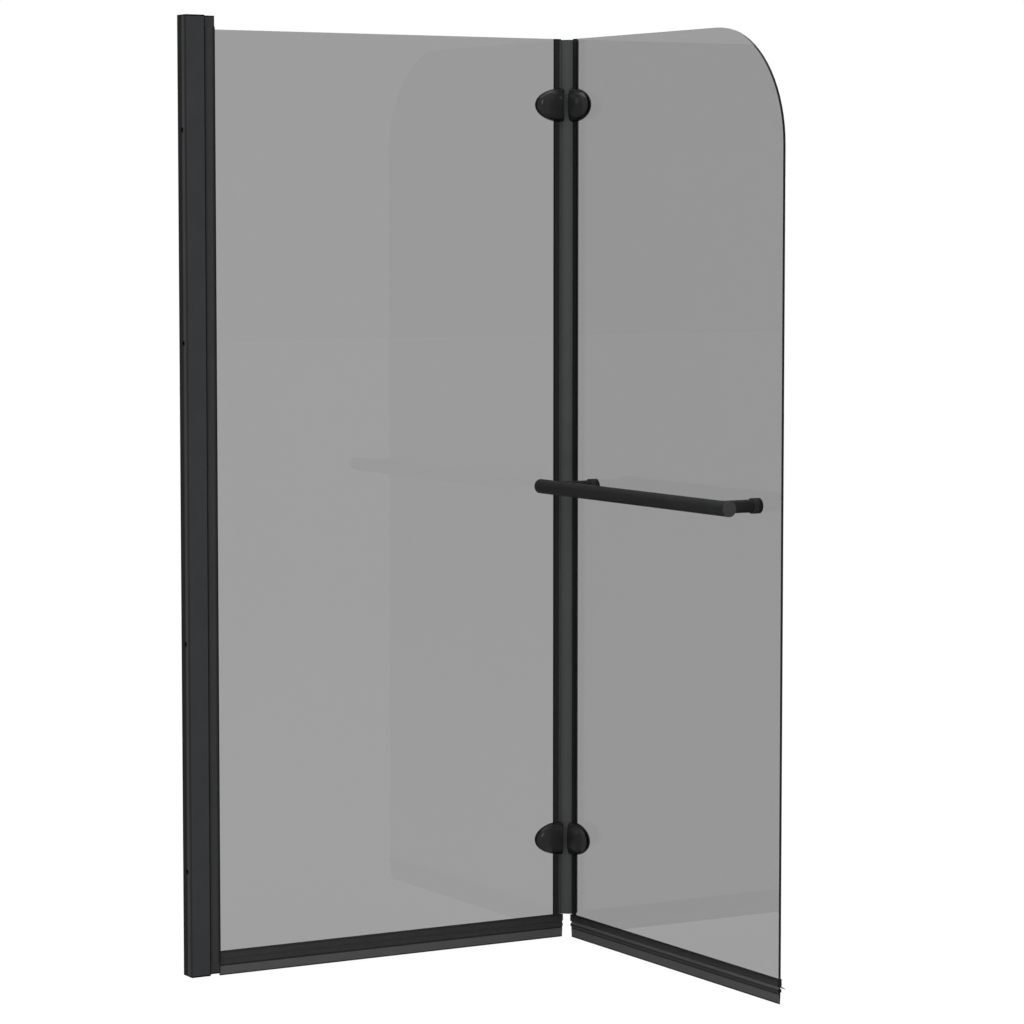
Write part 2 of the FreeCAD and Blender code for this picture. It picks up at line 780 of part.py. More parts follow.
def bulb_seals():
    """Soft hollow bulbs about the fold axis, each with a foot on the wall panel's clip."""
    bulbs = []
    for place, foot, height in strip_lengths("bulb_bottom", "bulb_top", "hinge_half_gap"):
        name = "bulb_seal_" + place
        tube = rod(name + "_tube", "z", "bulb_radius", height, ("0", "0", "0"))
        rib = box(name + "_rib", ("bulb_radius - bulb_wall / 2", "-bulb_foot_half", "0"),
                  ("clip_start - bulb_radius + bulb_wall / 2", "2 * bulb_foot_half", height))
        bore = rod(name + "_bore", "z", "bulb_radius - bulb_wall", height + " + 2 * overrun",
                   ("0", "0", "-overrun"))
        item = cut(name, fuse(name + "_solid", tube, rib), bore)
        item.Label = name
        bulbs.append(seat(item, WALL_PANEL_TURN, foot))
    return bulbs


# Oval hinges, drawn about the fold axis at the hinge's own height

def clamp_holes(name, radius):
    """Rods across the panel where the hinge's screws go through."""
    return [
        rod("%s_%s" % (name, place.rsplit("_", 1)[1]), "y", radius, "4 * cap_rise",
            (place, "-2 * cap_rise", "0"))
        for place in ("clamp_screw_near", "clamp_screw_far")
    ]


def leaf(name, knuckles, arms):
    """A leaf: a plate on the glass's face, arms and knuckles about the pin.

    Each knuckle and each arm is given by its foot and its height.
    """
    plate = box(name + "_plate", ("arm_reach - overrun", "plate_face", "-plate_half_height"),
                ("plate_end - arm_reach + overrun", "plate_thickness", "2 * plate_half_height"))
    reach = common(name + "_trim", plate, box(
        name + "_trim_box", ("arm_reach", "0", "-plate_half_height"),
        ("plate_end", "2 * plate_face + plate_thickness", "2 * plate_half_height")))
    pieces = [reach]
    for number, (foot, height) in enumerate(knuckles, start=1):
        pieces.append(rod("%s_knuckle_%d" % (name, number), "z", "barrel_radius", height,
                          ("0", "0", foot)))
    for number, (foot, height) in enumerate(arms, start=1):
        pieces.append(box("%s_arm_%d" % (name, number), ("barrel_radius / 2", "-arm_back", foot),
                          ("arm_reach - barrel_radius / 2",
                           "arm_back + plate_face + plate_thickness", height)))
    bore = rod(name + "_bore", "z", "hinge_pin_radius + running_fit",
               "2 * (barrel_half_height + overrun)", ("0", "0", "-barrel_half_height - overrun"))
    return cut(name + "_form", fuse(name + "_solid", *pieces), bore,
               *clamp_holes(name + "_hole", "clamp_screw_radius + running_fit"))


def wall_leaf(name):
    """The leaf on the wall panel: a knuckle at the top and one at the bottom."""
    knuckle = "barrel_half_height - knuckle_foot"
    arm = "arm_half_height - knuckle_foot"
    return leaf(name, knuckles=[("knuckle_foot", knuckle), ("-barrel_half_height", knuckle)],
                arms=[("knuckle_foot", arm), ("-arm_half_height", arm)])


def folding_leaf(name):
    """The leaf on the folding panel: one knuckle between the other leaf's two."""
    middle = [("-knuckle_half_height", "2 * knuckle_half_height")]
    return leaf(name, knuckles=middle, arms=middle)


def clamp_plate(name):
    """The plate on the glass's other face, which takes the screw heads."""
    plate = box(name + "_sheet", ("plate_start", "-plate_face - plate_thickness", "-plate_half_height"),
                ("plate_end - plate_start", "plate_thickness", "2 * plate_half_height"))
    return cut(name + "_form", plate, *clamp_holes(name + "_hole", "clamp_screw_radius + running_fit"))


def pad_pair(name):
    """The two soft pads between the glass and the hinge's plates."""
    pads = []
    for face, side in (("near", "glass_half"), ("far", "-plate_face")):
        layer = box("%s_%s" % (name, face), ("plate_start", side, "-plate_half_height"),
                    ("plate_end - plate_start", "pad_thickness", "2 * plate_half_height"))
        pads.append(cut("%s_%s_pad" % (name, face), layer,
                        *clamp_holes("%s_%s_hole" % (name, face), "clamp_screw_radius + running_fit")))
    return pads


def clamp_screws(name):
    """The two screws of a hinge half, with round heads on the clamp plate."""
    screws = []
    for place in ("clamp_screw_near", "clamp_screw_far"):
        label = "%s_%s" % (name, place.rsplit("_", 1)[1])
        low = "-plate_face - plate_thickness"
        shank = rod(label + "_shank", "y", "clamp_screw_radius", "2 * (plate_face + plate_thickness)",
                    (place, low, "0"))
        head = rod(label + "_head", "y", "clamp_screw_head_radius", "clamp_screw_head_height",
                   (place, low + " - clamp_screw_head_height", "0"))
        socket = rod(label + "_socket", "y", "clamp_screw_radius / 2", "clamp_screw_head_height",
                     (place, low + " - 1.5 * clamp_screw_head_height", "0"))
        screws.append(cut(label, fuse(label + "_solid", shank, head), socket))
    return screws


def quarter_dome(name, wall, start, mitre):
    """An oval dome on the glass's face, thinned by a wall and cut by the fold's mitre."""
    oval = doc.addObject("Part::Ellipsoid", name + "_oval")
    bind(oval, Radius1="cap_half_height - " + wall, Radius2="cap_reach - " + wall,
         Radius3="cap_rise - " + wall)
    oval.Angle1 = -QUARTER_TURN
    oval.Angle2 = QUARTER_TURN
    move(oval, "cap_centre", "glass_half", "0")
    room = box(name + "_room", (start, "glass_half", "-2 * cap_half_height"),
               ("cap_centre + cap_reach", "2 * cap_rise", "4 * cap_half_height"))
    beyond = box(name + "_beyond", (mitre, "0", "-2 * cap_half_height"),
                 ("4 * cap_reach", "4 * cap_reach", "4 * cap_half_height"))
    turn = FreeCAD.Rotation(FreeCAD.Vector(0, 0, 1), MITRE_ANGLE)
    beyond.Placement = FreeCAD.Placement(FreeCAD.Vector(), turn)
    move(beyond, mitre, "0", "-2 * cap_half_height")
    return cut(name, common(name + "_half", oval, room), beyond)


def cap_form(name):
    """A hollow oval half cap with a mitred end and an opening for the hinge's arms."""
    outer = quarter_dome(name + "_outer", "0", "cap_centre", "cap_mitre")
    hollow = quarter_dome(name + "_hollow", "cap_wall", "cap_centre", "(cap_mitre + 1.5 * cap_wall)")
    doorway = box(name + "_doorway", ("0", "0", "-2 * cap_half_height"),
                  ("arm_reach + hinge_clearance", "cap_opening_rise", "4 * cap_half_height"))
    barrel = rod(name + "_barrel", "z", "barrel_radius + hinge_clearance", "4 * cap_half_height",
                 ("0", "0", "-2 * cap_half_height"))
    return cut(name + "_form", outer, hollow, doorway, barrel)


def hinge_half(place, panel, turn, height, knuckled, leaf_flipped):
    """One panel's half of a hinge: leaf, clamp plate and the caps on both faces."""
    name = "%s_hinge_%s" % (place, panel)
    plain = [
        ("leaf", knuckled(name + "_leaf"), leaf_flipped),
        ("clamp_plate", clamp_plate(name + "_clamp"), leaf_flipped),
        ("room_cap", cap_form(name + "_room_cap"), leaf_flipped),
        ("bath_cap", cap_form(name + "_bath_cap"), not leaf_flipped),
    ]
    items = []
    for part_name, form, flipped in plain:
        item = seat(group("%s_%s" % (name, part_name), form), turn, height, flipped)
        item.Label = "%s_%s" % (name, part_name)
        items.append(item)
    return items


def hinge_pin(place, height):
    """A pin with a rounded head at each end of the barrel."""
    name = place + "_hinge_pin"
    reach = "(barrel_half_height + hinge_pin_proud)"
    pin = rod(name + "_rod", "z", "hinge_pin_radius", "2 * " + reach, ("0", "0", "-" + reach))
    item = rounded(name, pin, "hinge_pin_proud", lambda edge: edge.Closed)
    item.Label = name
    return seat(item, WALL_PANEL_TURN, height)


def hinges():
    """Both hinges, with one group of pads and one of screws on each panel."""
    heights = {"lower": "lower_hinge_height", "upper": "upper_hinge_height"}
    panels = [
        ("wall", WALL_PANEL_TURN, wall_leaf, False),
        ("folding", FOLDING_PANEL_TURN, folding_leaf, True),
    ]
    items = [hinge_pin(place, height) for place, height in heights.items()]
    for panel, turn, knuckled, flipped in panels:
        loose = {"pads": [], "screws": []}
        for place, height in heights.items():
            items += hinge_half(place, panel, turn, height, knuckled, flipped)
            sets = {
                "pads": pad_pair("%s_%s_pads" % (place, panel)),
                "screws": clamp_screws("%s_%s_screws" % (place, panel)),
            }
            for kind, pieces in sets.items():
                at_height = group("%s_%s_%s_group" % (place, panel, kind), *pieces)
                loose[kind].append(seat(at_height, turn, height, flipped))
        for kind, groups in loose.items():
            item = group("%s_hinge_%s" % (panel, kind), *groups)
            item.Label = "%s_hinge_%s" % (panel, kind)
            items.append(item)
    return items


# Towel bar, drawn in the folding panel's own frame with the bathroom side at negative y

def towel_bar():
    """A round tube along the panel, with a hole for each rivet nut."""
    tube = rod("bar_tube", "x", "bar_radius", "bar_end - bar_start - 2 * plug_rim",
               ("bar_start + plug_rim", "-bar_stand_off", "bar_height"))
    bore = rod("bar_bore", "x", "bar_radius - bar_wall", "bar_end - bar_start + 2 * overrun",
               ("bar_start - overrun", "-bar_stand_off", "bar_height"))
    holes = [
        rod("bar_hole_" + place, "y", "rivet_nut_radius + running_fit", "bar_radius + overrun",
            (place, "-bar_stand_off", "bar_height"))
        for place in ("inner_post", "outer_post")
    ]
    item = cut("towel_bar", tube, bore, *holes)
    item.Label = "towel_bar"
    return seat(item, FOLDING_PANEL_TURN)


def bar_end_plugs():
    """Flat end plugs whose rims are as wide as the bar."""
    plugs = []
    ends = {
        "inner": ("bar_start", "bar_start + plug_rim / 2"),
        "outer": ("bar_end - plug_rim", "bar_end - plug_depth - plug_rim / 2"),
    }
    for place, (rim_start, core_start) in ends.items():
        name = place + "_plug"
        rim = rod(name + "_rim", "x", "bar_radius", "plug_rim",
                  (rim_start, "-bar_stand_off", "bar_height"))
        core = rod(name + "_core", "x", "bar_radius - bar_wall - running_fit", "plug_depth",
                   (core_start, "-bar_stand_off", "bar_height"))
        solid = fuse(name + "_solid", rim, core)
        end = float(sheet.bar_start if place == "inner" else sheet.bar_end)
        plugs.append(rounded(name, solid, "channel_edge", lambda edge, end=end: (
            edge.Closed and same(edge.CenterOfMass.x, end))))
    item = group("bar_end_plugs", *plugs)
    item.Label = "bar_end_plugs"
    return seat(item, FOLDING_PANEL_TURN)


def bar_post(place):
    """A round post from the glass to the bar, hollowed to the bar's round back."""
    name = place + "_bar_post"
    centre = place + "_post"
    stem = rod(name + "_stem", "y", "post_radius", "post_end - post_start",
               (centre, "-post_end", "bar_height"))
    saddle = rod(name + "_saddle", "x", "bar_radius + seat_fit", "4 * post_radius",
                 (centre + " - 2 * post_radius", "-bar_stand_off", "bar_height"))
    screw_hole = rod(name + "_screw_hole", "y", "screw_radius + press_fit",
                     "screw_in_post + seat_fit + overrun",
                     (centre, "-post_start - screw_in_post - seat_fit", "bar_height"))
    stud_hole = rod(name + "_stud_hole", "y", "stud_radius + press_fit",
                    "stud_in_post + seat_fit + overrun",
                    (centre, "-bar_back - overrun", "bar_height"))
    item = cut(name, stem, saddle, screw_hole, stud_hole)
    item.Label = name
    return seat(item, FOLDING_PANEL_TURN)


def post_collar(place):
    """A ring about the post at the glass: a wide part, a waist and a bead."""
    name = place + "_post_collar"
    centre = place + "_post"
    wide_length = "collar_length - collar_waist_length - collar_bead_length"
    wide = rod(name + "_wide", "y", "collar_radius", wide_length,
               (centre, "-post_start - (" + wide_length + ")", "bar_height"))
    waist = rod(name + "_waist", "y", "collar_waist_radius", "collar_waist_length + collar_bead_length",
                (centre, "-post_start - collar_length", "bar_height"))
    bead = rod(name + "_bead", "y", "collar_radius", "collar_bead_length",
               (centre, "-post_start - collar_length", "bar_height"))
    solid = fuse(name + "_solid", wide, waist, bead)
    radius = float(sheet.collar_radius)
    smooth = rounded(name + "_smooth", solid, "channel_edge", lambda edge: (
        edge.Closed and same(edge.BoundBox.XLength / 2, radius)))
    bore = rod(name + "_bore", "y", "post_radius + running_fit", "collar_length + 2 * overrun",
               (centre, "-post_start - collar_length - overrun", "bar_height"))
    item = cut(name, smooth, bore)
    item.Label = name
    return seat(item, FOLDING_PANEL_TURN)


def post_gaskets():
    """Thin washers between the glass and each collar."""
    washers = []
    for place in ("inner_post", "outer_post"):
        name = "gasket_" + place
        disc = rod(name + "_disc", "y", "collar_radius - seat_fit", "post_gasket",
                   (place, "-post_start", "bar_height"))
        hole = rod(name + "_hole", "y", "screw_radius + running_fit",
                   "post_gasket + 2 * overrun", (place, "-post_start - overrun", "bar_height"))
        washers.append(cut(name, disc, hole))
    item = group("post_gaskets", *washers)
    item.Label = "post_gaskets"
    return seat(item, FOLDING_PANEL_TURN)


def post_screw_cups():
    """Nylon cups that carry the countersunk heads flush in the glass."""
    cups = []
    for place in ("inner_post", "outer_post"):
        name = "cup_" + place
        outside = countersink(name + "_outside", place, "cup_radius", "cup_neck_radius", "cup_depth",
                              "-glass_half")
        inside = countersink(name + "_inside", place, "screw_head_radius", "screw_radius",
                             "screw_head_depth", "-glass_half - overrun",
                             clearance="running_fit", beyond="overrun")
        cups.append(cut(name, outside, inside))
    item = group("post_screw_cups", *cups)
    item.Label = "post_screw_cups"
    return seat(item, FOLDING_PANEL_TURN)


def post_screws():
    """Countersunk socket screws from the bath side through the glass into the posts."""
    screws = []
    for place in ("inner_post", "outer_post"):
        name = "screw_" + place
        solid = countersink(name + "_solid", place, "screw_head_radius", "screw_radius",
                            "screw_head_depth", "-post_start - screw_in_post")
        hexagon = doc.addObject("Part::Prism", name + "_hexagon")
        hexagon.Polygon = 6
        hexagon.Placement = FreeCAD.Placement(
            FreeCAD.Vector(), FreeCAD.Rotation(FreeCAD.Vector(1, 0, 0), -QUARTER_TURN))
        bind(hexagon, Circumradius="hex_socket_radius", Height="hex_socket_depth + overrun")
        move(hexagon, place, "glass_half - hex_socket_depth", "bar_height")
        screws.append(cut(name, solid, hexagon))
    item = group("post_screws", *screws)
    item.Label = "post_screws"
    return seat(item, FOLDING_PANEL_TURN)


def bar_studs():
    """Threaded studs that draw the bar onto its posts."""
    studs = [
        rod("stud_" + place, "y", "stud_radius", "stud_in_post + stud_in_bar",
            (place, "-bar_back - stud_in_bar", "bar_height"))
        for place in ("inner_post", "outer_post")
    ]
    item = group("bar_studs", *studs)
    item.Label = "bar_studs"
    return seat(item, FOLDING_PANEL_TURN)


def bar_rivet_nuts():
    """Rivet nuts in the bar's back wall, on the studs."""
    nuts = []
    for place in ("inner_post", "outer_post"):
        name = "nut_" + place
        sleeve = rod(name + "_sleeve", "y", "rivet_nut_radius", "rivet_nut_length",
                     (place, "-bar_back - rivet_nut_length", "bar_height"))
        thread = rod(name + "_thread", "y", "stud_radius + press_fit",
                     "rivet_nut_length + 2 * overrun",
                     (place, "-bar_back - rivet_nut_length - overrun", "bar_height"))
        nuts.append(cut(name, sleeve, thread))
    item = group("bar_rivet_nuts", *nuts)
    item.Label = "bar_rivet_nuts"
    return seat(item, FOLDING_PANEL_TURN)


def all_parts():
    """Build every sub-part in order, from the wall outwards."""
    parts = [wall_channel(), sliding_profile(), slide_screws(), bottom_end_block(), top_end_block()]
    parts += pivot_pins()
    parts += pivot_washers()
    parts += [turning_profile(), glazing_gasket(), wall_glass(), wall_bottom_seal()]
    parts += edge_clips("wall", WALL_PANEL_TURN,
                        clip_section("", "wall_clip_reach", "wall_clip_bath_reach"))
    parts += bulb_seals()
    parts += hinges()
    parts += [folding_glass(), folding_bottom_seal()]
    parts += edge_clips("folding", FOLDING_PANEL_TURN, clip_section("-", "folding_clip_reach", None))
    parts += [towel_bar(), bar_end_plugs()]
    for place in ("inner", "outer"):
        parts += [bar_post(place), post_collar(place)]
    parts += [post_gaskets(), post_screw_cups(), post_screws(), bar_studs(), bar_rivet_nuts()]
    return parts


def check(parts):
    """Stop where an object failed or a sub-part has no sound shape."""
    for item in doc.Objects:
        if "Invalid" in item.State or "Error" in item.State:
            raise ValueError("%s failed: %s" % (item.Name, item.State))
    for item in parts:
        if item.Shape.isNull() or not item.Shape.isValid() or not item.Shape.Solids:
            raise ValueError("%s has no sound shape" % item.Label)


fill_sheet()
sub_parts = all_parts()
doc.recompute()
check(sub_parts)
os.makedirs("parts", exist_ok=True)
for sub_part in sub_parts:
    sub_part.Shape.exportStep("parts/%s.step" % sub_part.Label)
print("%d sub-parts written" % len(sub_parts))
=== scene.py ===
"""A folding bath screen of two tinted glass panels, dressed on its fixed frame.

Everything is in metres. X runs from the wall along the wall panel, -Y is the room side, to
which the folding panel points at rest, and Z is up from the foot of the wall channel.
"""

import logging
import math
from dataclasses import dataclass, field
from enum import Enum

import bmesh
import bpy
import numpy as np
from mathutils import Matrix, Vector


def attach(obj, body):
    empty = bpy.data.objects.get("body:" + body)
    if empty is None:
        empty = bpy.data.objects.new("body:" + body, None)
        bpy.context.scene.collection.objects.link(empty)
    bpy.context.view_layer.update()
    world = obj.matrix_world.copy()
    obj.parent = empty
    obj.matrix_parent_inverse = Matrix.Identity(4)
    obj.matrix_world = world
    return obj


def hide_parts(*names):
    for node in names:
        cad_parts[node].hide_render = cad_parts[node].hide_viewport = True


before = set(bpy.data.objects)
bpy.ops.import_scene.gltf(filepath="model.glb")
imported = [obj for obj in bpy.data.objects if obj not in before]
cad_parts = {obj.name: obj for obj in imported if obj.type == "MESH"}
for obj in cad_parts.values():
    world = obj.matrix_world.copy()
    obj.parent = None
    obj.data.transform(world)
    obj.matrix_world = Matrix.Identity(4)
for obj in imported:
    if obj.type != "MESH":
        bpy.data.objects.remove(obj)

LOG = logging.getLogger("bath_screen")
MM = 0.001
Colour = tuple[float, float, float]
Point = tuple[float, float, float]
CUT_CLEAR, CUT_DARK = 1.1, 0.8
MERGE_REACH, THIN_EDGE = 2e-6, 1e-7
SIDE_SHARE = 0.45


class Body(Enum):
    """The three bodies that move against each other."""

    WALL_SIDE = "wall_side"
    WALL_PANEL = "wall_panel"
    FOLDING_PANEL = "folding_panel"


class Slot(Enum):
    """The record's material slots, passed with new pieces but not used."""

    GLOSS_PLASTIC = "gloss_black_plastic"
    RUBBER = "black_rubber"
    STEEL = "steel"


class Run(Enum):
    """The way in which a drawn or extruded piece runs, as a stretch of its grain."""

    ALONG_X = (1.0, 60.0, 60.0)
    ALONG_Y = (60.0, 1.0, 60.0)
    UPRIGHT = (60.0, 60.0, 1.0)
    NONE = (1.0, 1.0, 1.0)


class Wiring:
    """A node tree being wired: it places nodes, sets their values and joins sockets."""

    def __init__(self, tree: bpy.types.NodeTree) -> None:
        """Take a tree and empty it.

        Args:
            tree: The material's, world's or group's node tree.
        """
        self.tree = tree
        self.tree.nodes.clear()

    def node(self, kind: str, values: dict[str, object] | None = None,
             **settings: object) -> bpy.types.Node:
        """Place a node.

        Args:
            kind: The node's type without its ShaderNode prefix.
            values: Socket names or numbers with a number, a colour or another node's socket.
            settings: Properties of the node itself.

        Returns:
            The new node.
        """
        prefix = "" if kind.startswith("Node") else "ShaderNode"
        placed = self.tree.nodes.new(prefix + kind)
        for name, setting in settings.items():
            setattr(placed, name, setting)
        for name, value in (values or {}).items():
            self.feed(placed.inputs[name], value)
        return placed

    def feed(self, socket: bpy.types.NodeSocket, value: object) -> None:
        """Join a socket to another, or give it a plain value."""
        if isinstance(value, bpy.types.NodeSocket):
            self.tree.links.new(value, socket)
        elif isinstance(value, tuple) and len(value) == 3 and socket.type == "RGBA":
            socket.default_value = (*value, 1.0)
        else:
            socket.default_value = value

    def sum(self, operation: str, *terms: object) -> bpy.types.NodeSocket:
        """Work out a number from one to three terms and return its socket."""
        return self.node("Math", dict(enumerate(terms)), operation=operation).outputs[0]

    def between(self, amount: object, low: object, high: object) -> bpy.types.NodeSocket:
        """Go from a low to a high number as the amount goes from 0 to 1."""
        span = self.node("MapRange", {"Value": amount, "To Min": low, "To Max": high})
        return span.outputs["Result"]

    def blend(self, amount: object, one: object, other: object) -> bpy.types.NodeSocket:
        """Go from one colour to another as the amount goes from 0 to 1."""
        mixed = self.node("Mix", data_type="RGBA")
        self.feed(mixed.inputs["Factor"], amount)
        self.feed(mixed.inputs[6], one)
        self.feed(mixed.inputs[7], other)
        return mixed.outputs[2]

    def place(self, axis: str) -> bpy.types.NodeSocket:
        """Return a point's own place along an axis of the object."""
        return self.node("SeparateXYZ", {0: self.node("TexCoord").outputs["Object"]}).outputs[axis]

    def facing(self, axis: str) -> bpy.types.NodeSocket:
        """Return how far a face looks along an axis of the object, from -1 to 1."""
        return self.node("SeparateXYZ", {0: self.node("TexCoord").outputs["Normal"]}).outputs[axis]

    def step(self, value: object, low: float, high: float) -> bpy.types.NodeSocket:
        """Return 0 where a value is at the low limit or before it and 1 at the high one or beyond."""
        return self.node("MapRange", {"Value": value, "From Min": low, "From Max": high}).outputs[0]


class Effects:
    """Surface effects shared by several finishes, each built once as a shader node group."""

    dust_facing: tuple[float, float] = (0.3, 1.0)
    dust_breaks: tuple[float, float] = (0.45, 0.7)
    speck_scale: float = 700.0

    def __init__(self) -> None:
        """Build the groups."""
        self.grain = self.build_grain()
        self.lines = self.build_lines()
        self.dust = self.build_dust()

    @staticmethod
    def start(name: str, inputs: dict[str, float],
              outputs: list[str]) -> tuple[Wiring, bpy.types.Node]:
        """Start a group with number sockets.

        Args:
            name: The group's name.
            inputs: Its inputs with their usual values.
            outputs: Its outputs.

        Returns:
            The group's wiring and its input node.
        """
        tree = bpy.data.node_groups.new(name, "ShaderNodeTree")
        for title, usual in inputs.items():
            socket = tree.interface.new_socket(title, in_out="INPUT", socket_type="NodeSocketFloat")
            socket.default_value = usual
        for title in outputs:
            tree.interface.new_socket(title, in_out="OUTPUT", socket_type="NodeSocketFloat")
        wiring = Wiring(tree)
        return wiring, wiring.node("NodeGroupInput")

    def build_grain(self) -> bpy.types.NodeTree:
        """Build grain at one scale and cloudy mottle at another, both from 0 to 1."""
        wiring, given = self.start(
            "surface_grain", {"Grain Scale": 2500.0, "Mottle Scale": 25.0}, ["Grain", "Mottle"])
        place = wiring.node("TexCoord").outputs["Object"]
        grain = wiring.node("TexNoise", {
            "Vector": place, "Scale": given.outputs["Grain Scale"], "Detail": 3.0, "Roughness": 0.6})
        mottle = wiring.node("TexNoise", {
            "Vector": place, "Scale": given.outputs["Mottle Scale"], "Detail": 4.0})
        wiring.node("NodeGroupOutput", {"Grain": grain.outputs[0], "Mottle": mottle.outputs[0]})
        return wiring.tree

    def build_lines(self) -> bpy.types.NodeTree:
        """Build fine lines along a piece, from noise that is squeezed across its run."""
        wiring, given = self.start("drawn_lines", {
            "Across X": 1.0, "Across Y": 1.0, "Across Z": 1.0, "Scale": 40.0}, ["Lines"])
        place = wiring.node("TexCoord").outputs["Object"]
        stretch = wiring.node("CombineXYZ", {
            0: given.outputs["Across X"], 1: given.outputs["Across Y"], 2: given.outputs["Across Z"]})
        drawn = wiring.node("VectorMath", {0: place, 1: stretch.outputs[0]}, operation="MULTIPLY")
        noise = wiring.node("TexNoise", {
            "Vector": drawn.outputs[0], "Scale": given.outputs["Scale"], "Detail": 2.0})
        wiring.node("NodeGroupOutput", {"Lines": noise.outputs[0]})
        return wiring.tree

    def build_dust(self) -> bpy.types.NodeTree:
        """Build a mask of thin dust that lies on faces which look up, broken by noise."""
        wiring, given = self.start("settled_dust", {"Amount": 0.3}, ["Dust"])
        lying = wiring.step(wiring.facing("Z"), *self.dust_facing)
        specks = wiring.node("TexNoise", {
            "Vector": wiring.node("TexCoord").outputs["Object"], "Scale": self.speck_scale,
            "Detail": 5.0})
        broken = wiring.step(specks.outputs[0], *self.dust_breaks)
        amount = wiring.sum("MULTIPLY", wiring.sum("MULTIPLY", lying, broken), given.outputs["Amount"])
        wiring.node("NodeGroupOutput", {"Dust": amount})
        return wiring.tree


@dataclass(frozen=True)
class Finish:
    """A matt to glossy finish with grain, cloudy mottle, lines along its run, thin dust and painted
    shade on faces that look down.
    """

    name: str
    colour: Colour
    roughness: float
    specular: float
    metallic: float = 0.0
    coat: float = 0.0
    mottle: float = 0.12
    mottle_scale: float = 25.0
    grain_scale: float = 2500.0
    grain_height: float = 0.02
    line_height: float = 0.0
    line_tone: float = 0.0
    run: Run = Run.NONE
    # Painted shade: the share of the colour that is left on faces that look down.
    underside_shade: float = 1.0
    dust: float = 0.15
    dust_colour: Colour = (0.32, 0.31, 0.3)
    dust_dullness: float = 0.4
    shine_spread: float = 0.05
    coat_roughness: float = 0.08
    under_start: float = -0.45
    under_full: float = -0.85

    def tone(self, wiring: Wiring) -> object:
        """Return the clean colour: plain here, and in other finishes placed by height or face, with
        painted light and shade.
        """
        return self.colour

    def build(self, effects: Effects) -> bpy.types.Material:
        """Make the material.

        Args:
            effects: The shared node groups.

        Returns:
            The finished material.
        """
        material = bpy.data.materials.new(self.name)
        material.use_nodes = True
        wiring = Wiring(material.node_tree)
        grain = wiring.node("Group", node_tree=effects.grain)
        wiring.feed(grain.inputs["Grain Scale"], self.grain_scale)
        wiring.feed(grain.inputs["Mottle Scale"], self.mottle_scale)
        lines = wiring.node("Group", node_tree=effects.lines)
        for name, stretch in zip(("Across X", "Across Y", "Across Z"), self.run.value):
            wiring.feed(lines.inputs[name], stretch)
        dust = wiring.node("Group", node_tree=effects.dust)
        wiring.feed(dust.inputs["Amount"], self.dust)
        cloud = wiring.between(grain.outputs["Mottle"], 1 - self.mottle, 1 + self.mottle)
        streak = wiring.between(lines.outputs["Lines"], 1 - self.line_tone, 1 + self.line_tone)
        # Painted shade: faces that look down are darkened.
        below = wiring.step(wiring.facing("Z"), self.under_start, self.under_full)
        lower = wiring.between(below, 1.0, self.underside_shade)
        shade = wiring.sum("MULTIPLY", wiring.sum("MULTIPLY", cloud, streak), lower)
        scaled = wiring.node("VectorMath", {0: self.tone(wiring), "Scale": shade}, operation="SCALE")
        colour = wiring.blend(dust.outputs["Dust"], scaled.outputs[0], self.dust_colour)
        shine = wiring.between(grain.outputs["Grain"], self.roughness - self.shine_spread,
                               self.roughness + self.shine_spread)
        dulled = wiring.sum("MULTIPLY", dust.outputs["Dust"], self.dust_dullness)
        dull = wiring.sum("ADD", shine, dulled)
        relief = wiring.sum("ADD", wiring.sum("MULTIPLY", grain.outputs["Grain"], self.grain_height),
                            wiring.sum("MULTIPLY", lines.outputs["Lines"], self.line_height))
        bump = wiring.node("Bump", {"Height": relief, "Distance": MM})
        surface = wiring.node("BsdfPrincipled", {
            "Base Color": colour, "Roughness": dull, "Metallic": self.metallic,
            "Specular IOR Level": self.specular, "Coat Weight": self.coat,
            "Coat Roughness": self.coat_roughness, "Normal": bump.outputs[0]})
        wiring.node("OutputMaterial", {"Surface": surface.outputs[0]})
        return material


def cut_ends(wiring: Wiring, foot: float, head: float, band: float) -> bpy.types.NodeSocket:
    """Return 1 within a band from an upright piece's foot or head and 0 between, where painted shade
    darkens the ends.

    Args:
        wiring: The material's wiring.
        foot: The piece's foot.
        head: The piece's head.
        band: How far each end reaches.

    Returns:
        The mask's socket.
    """
    height = wiring.place("Z")
    clear, dark = CUT_CLEAR * band, CUT_DARK * band
    above = wiring.step(height, head - clear, head - dark)
    under = wiring.step(height, foot + clear, foot + dark)
    return wiring.sum("MAXIMUM", above, under)


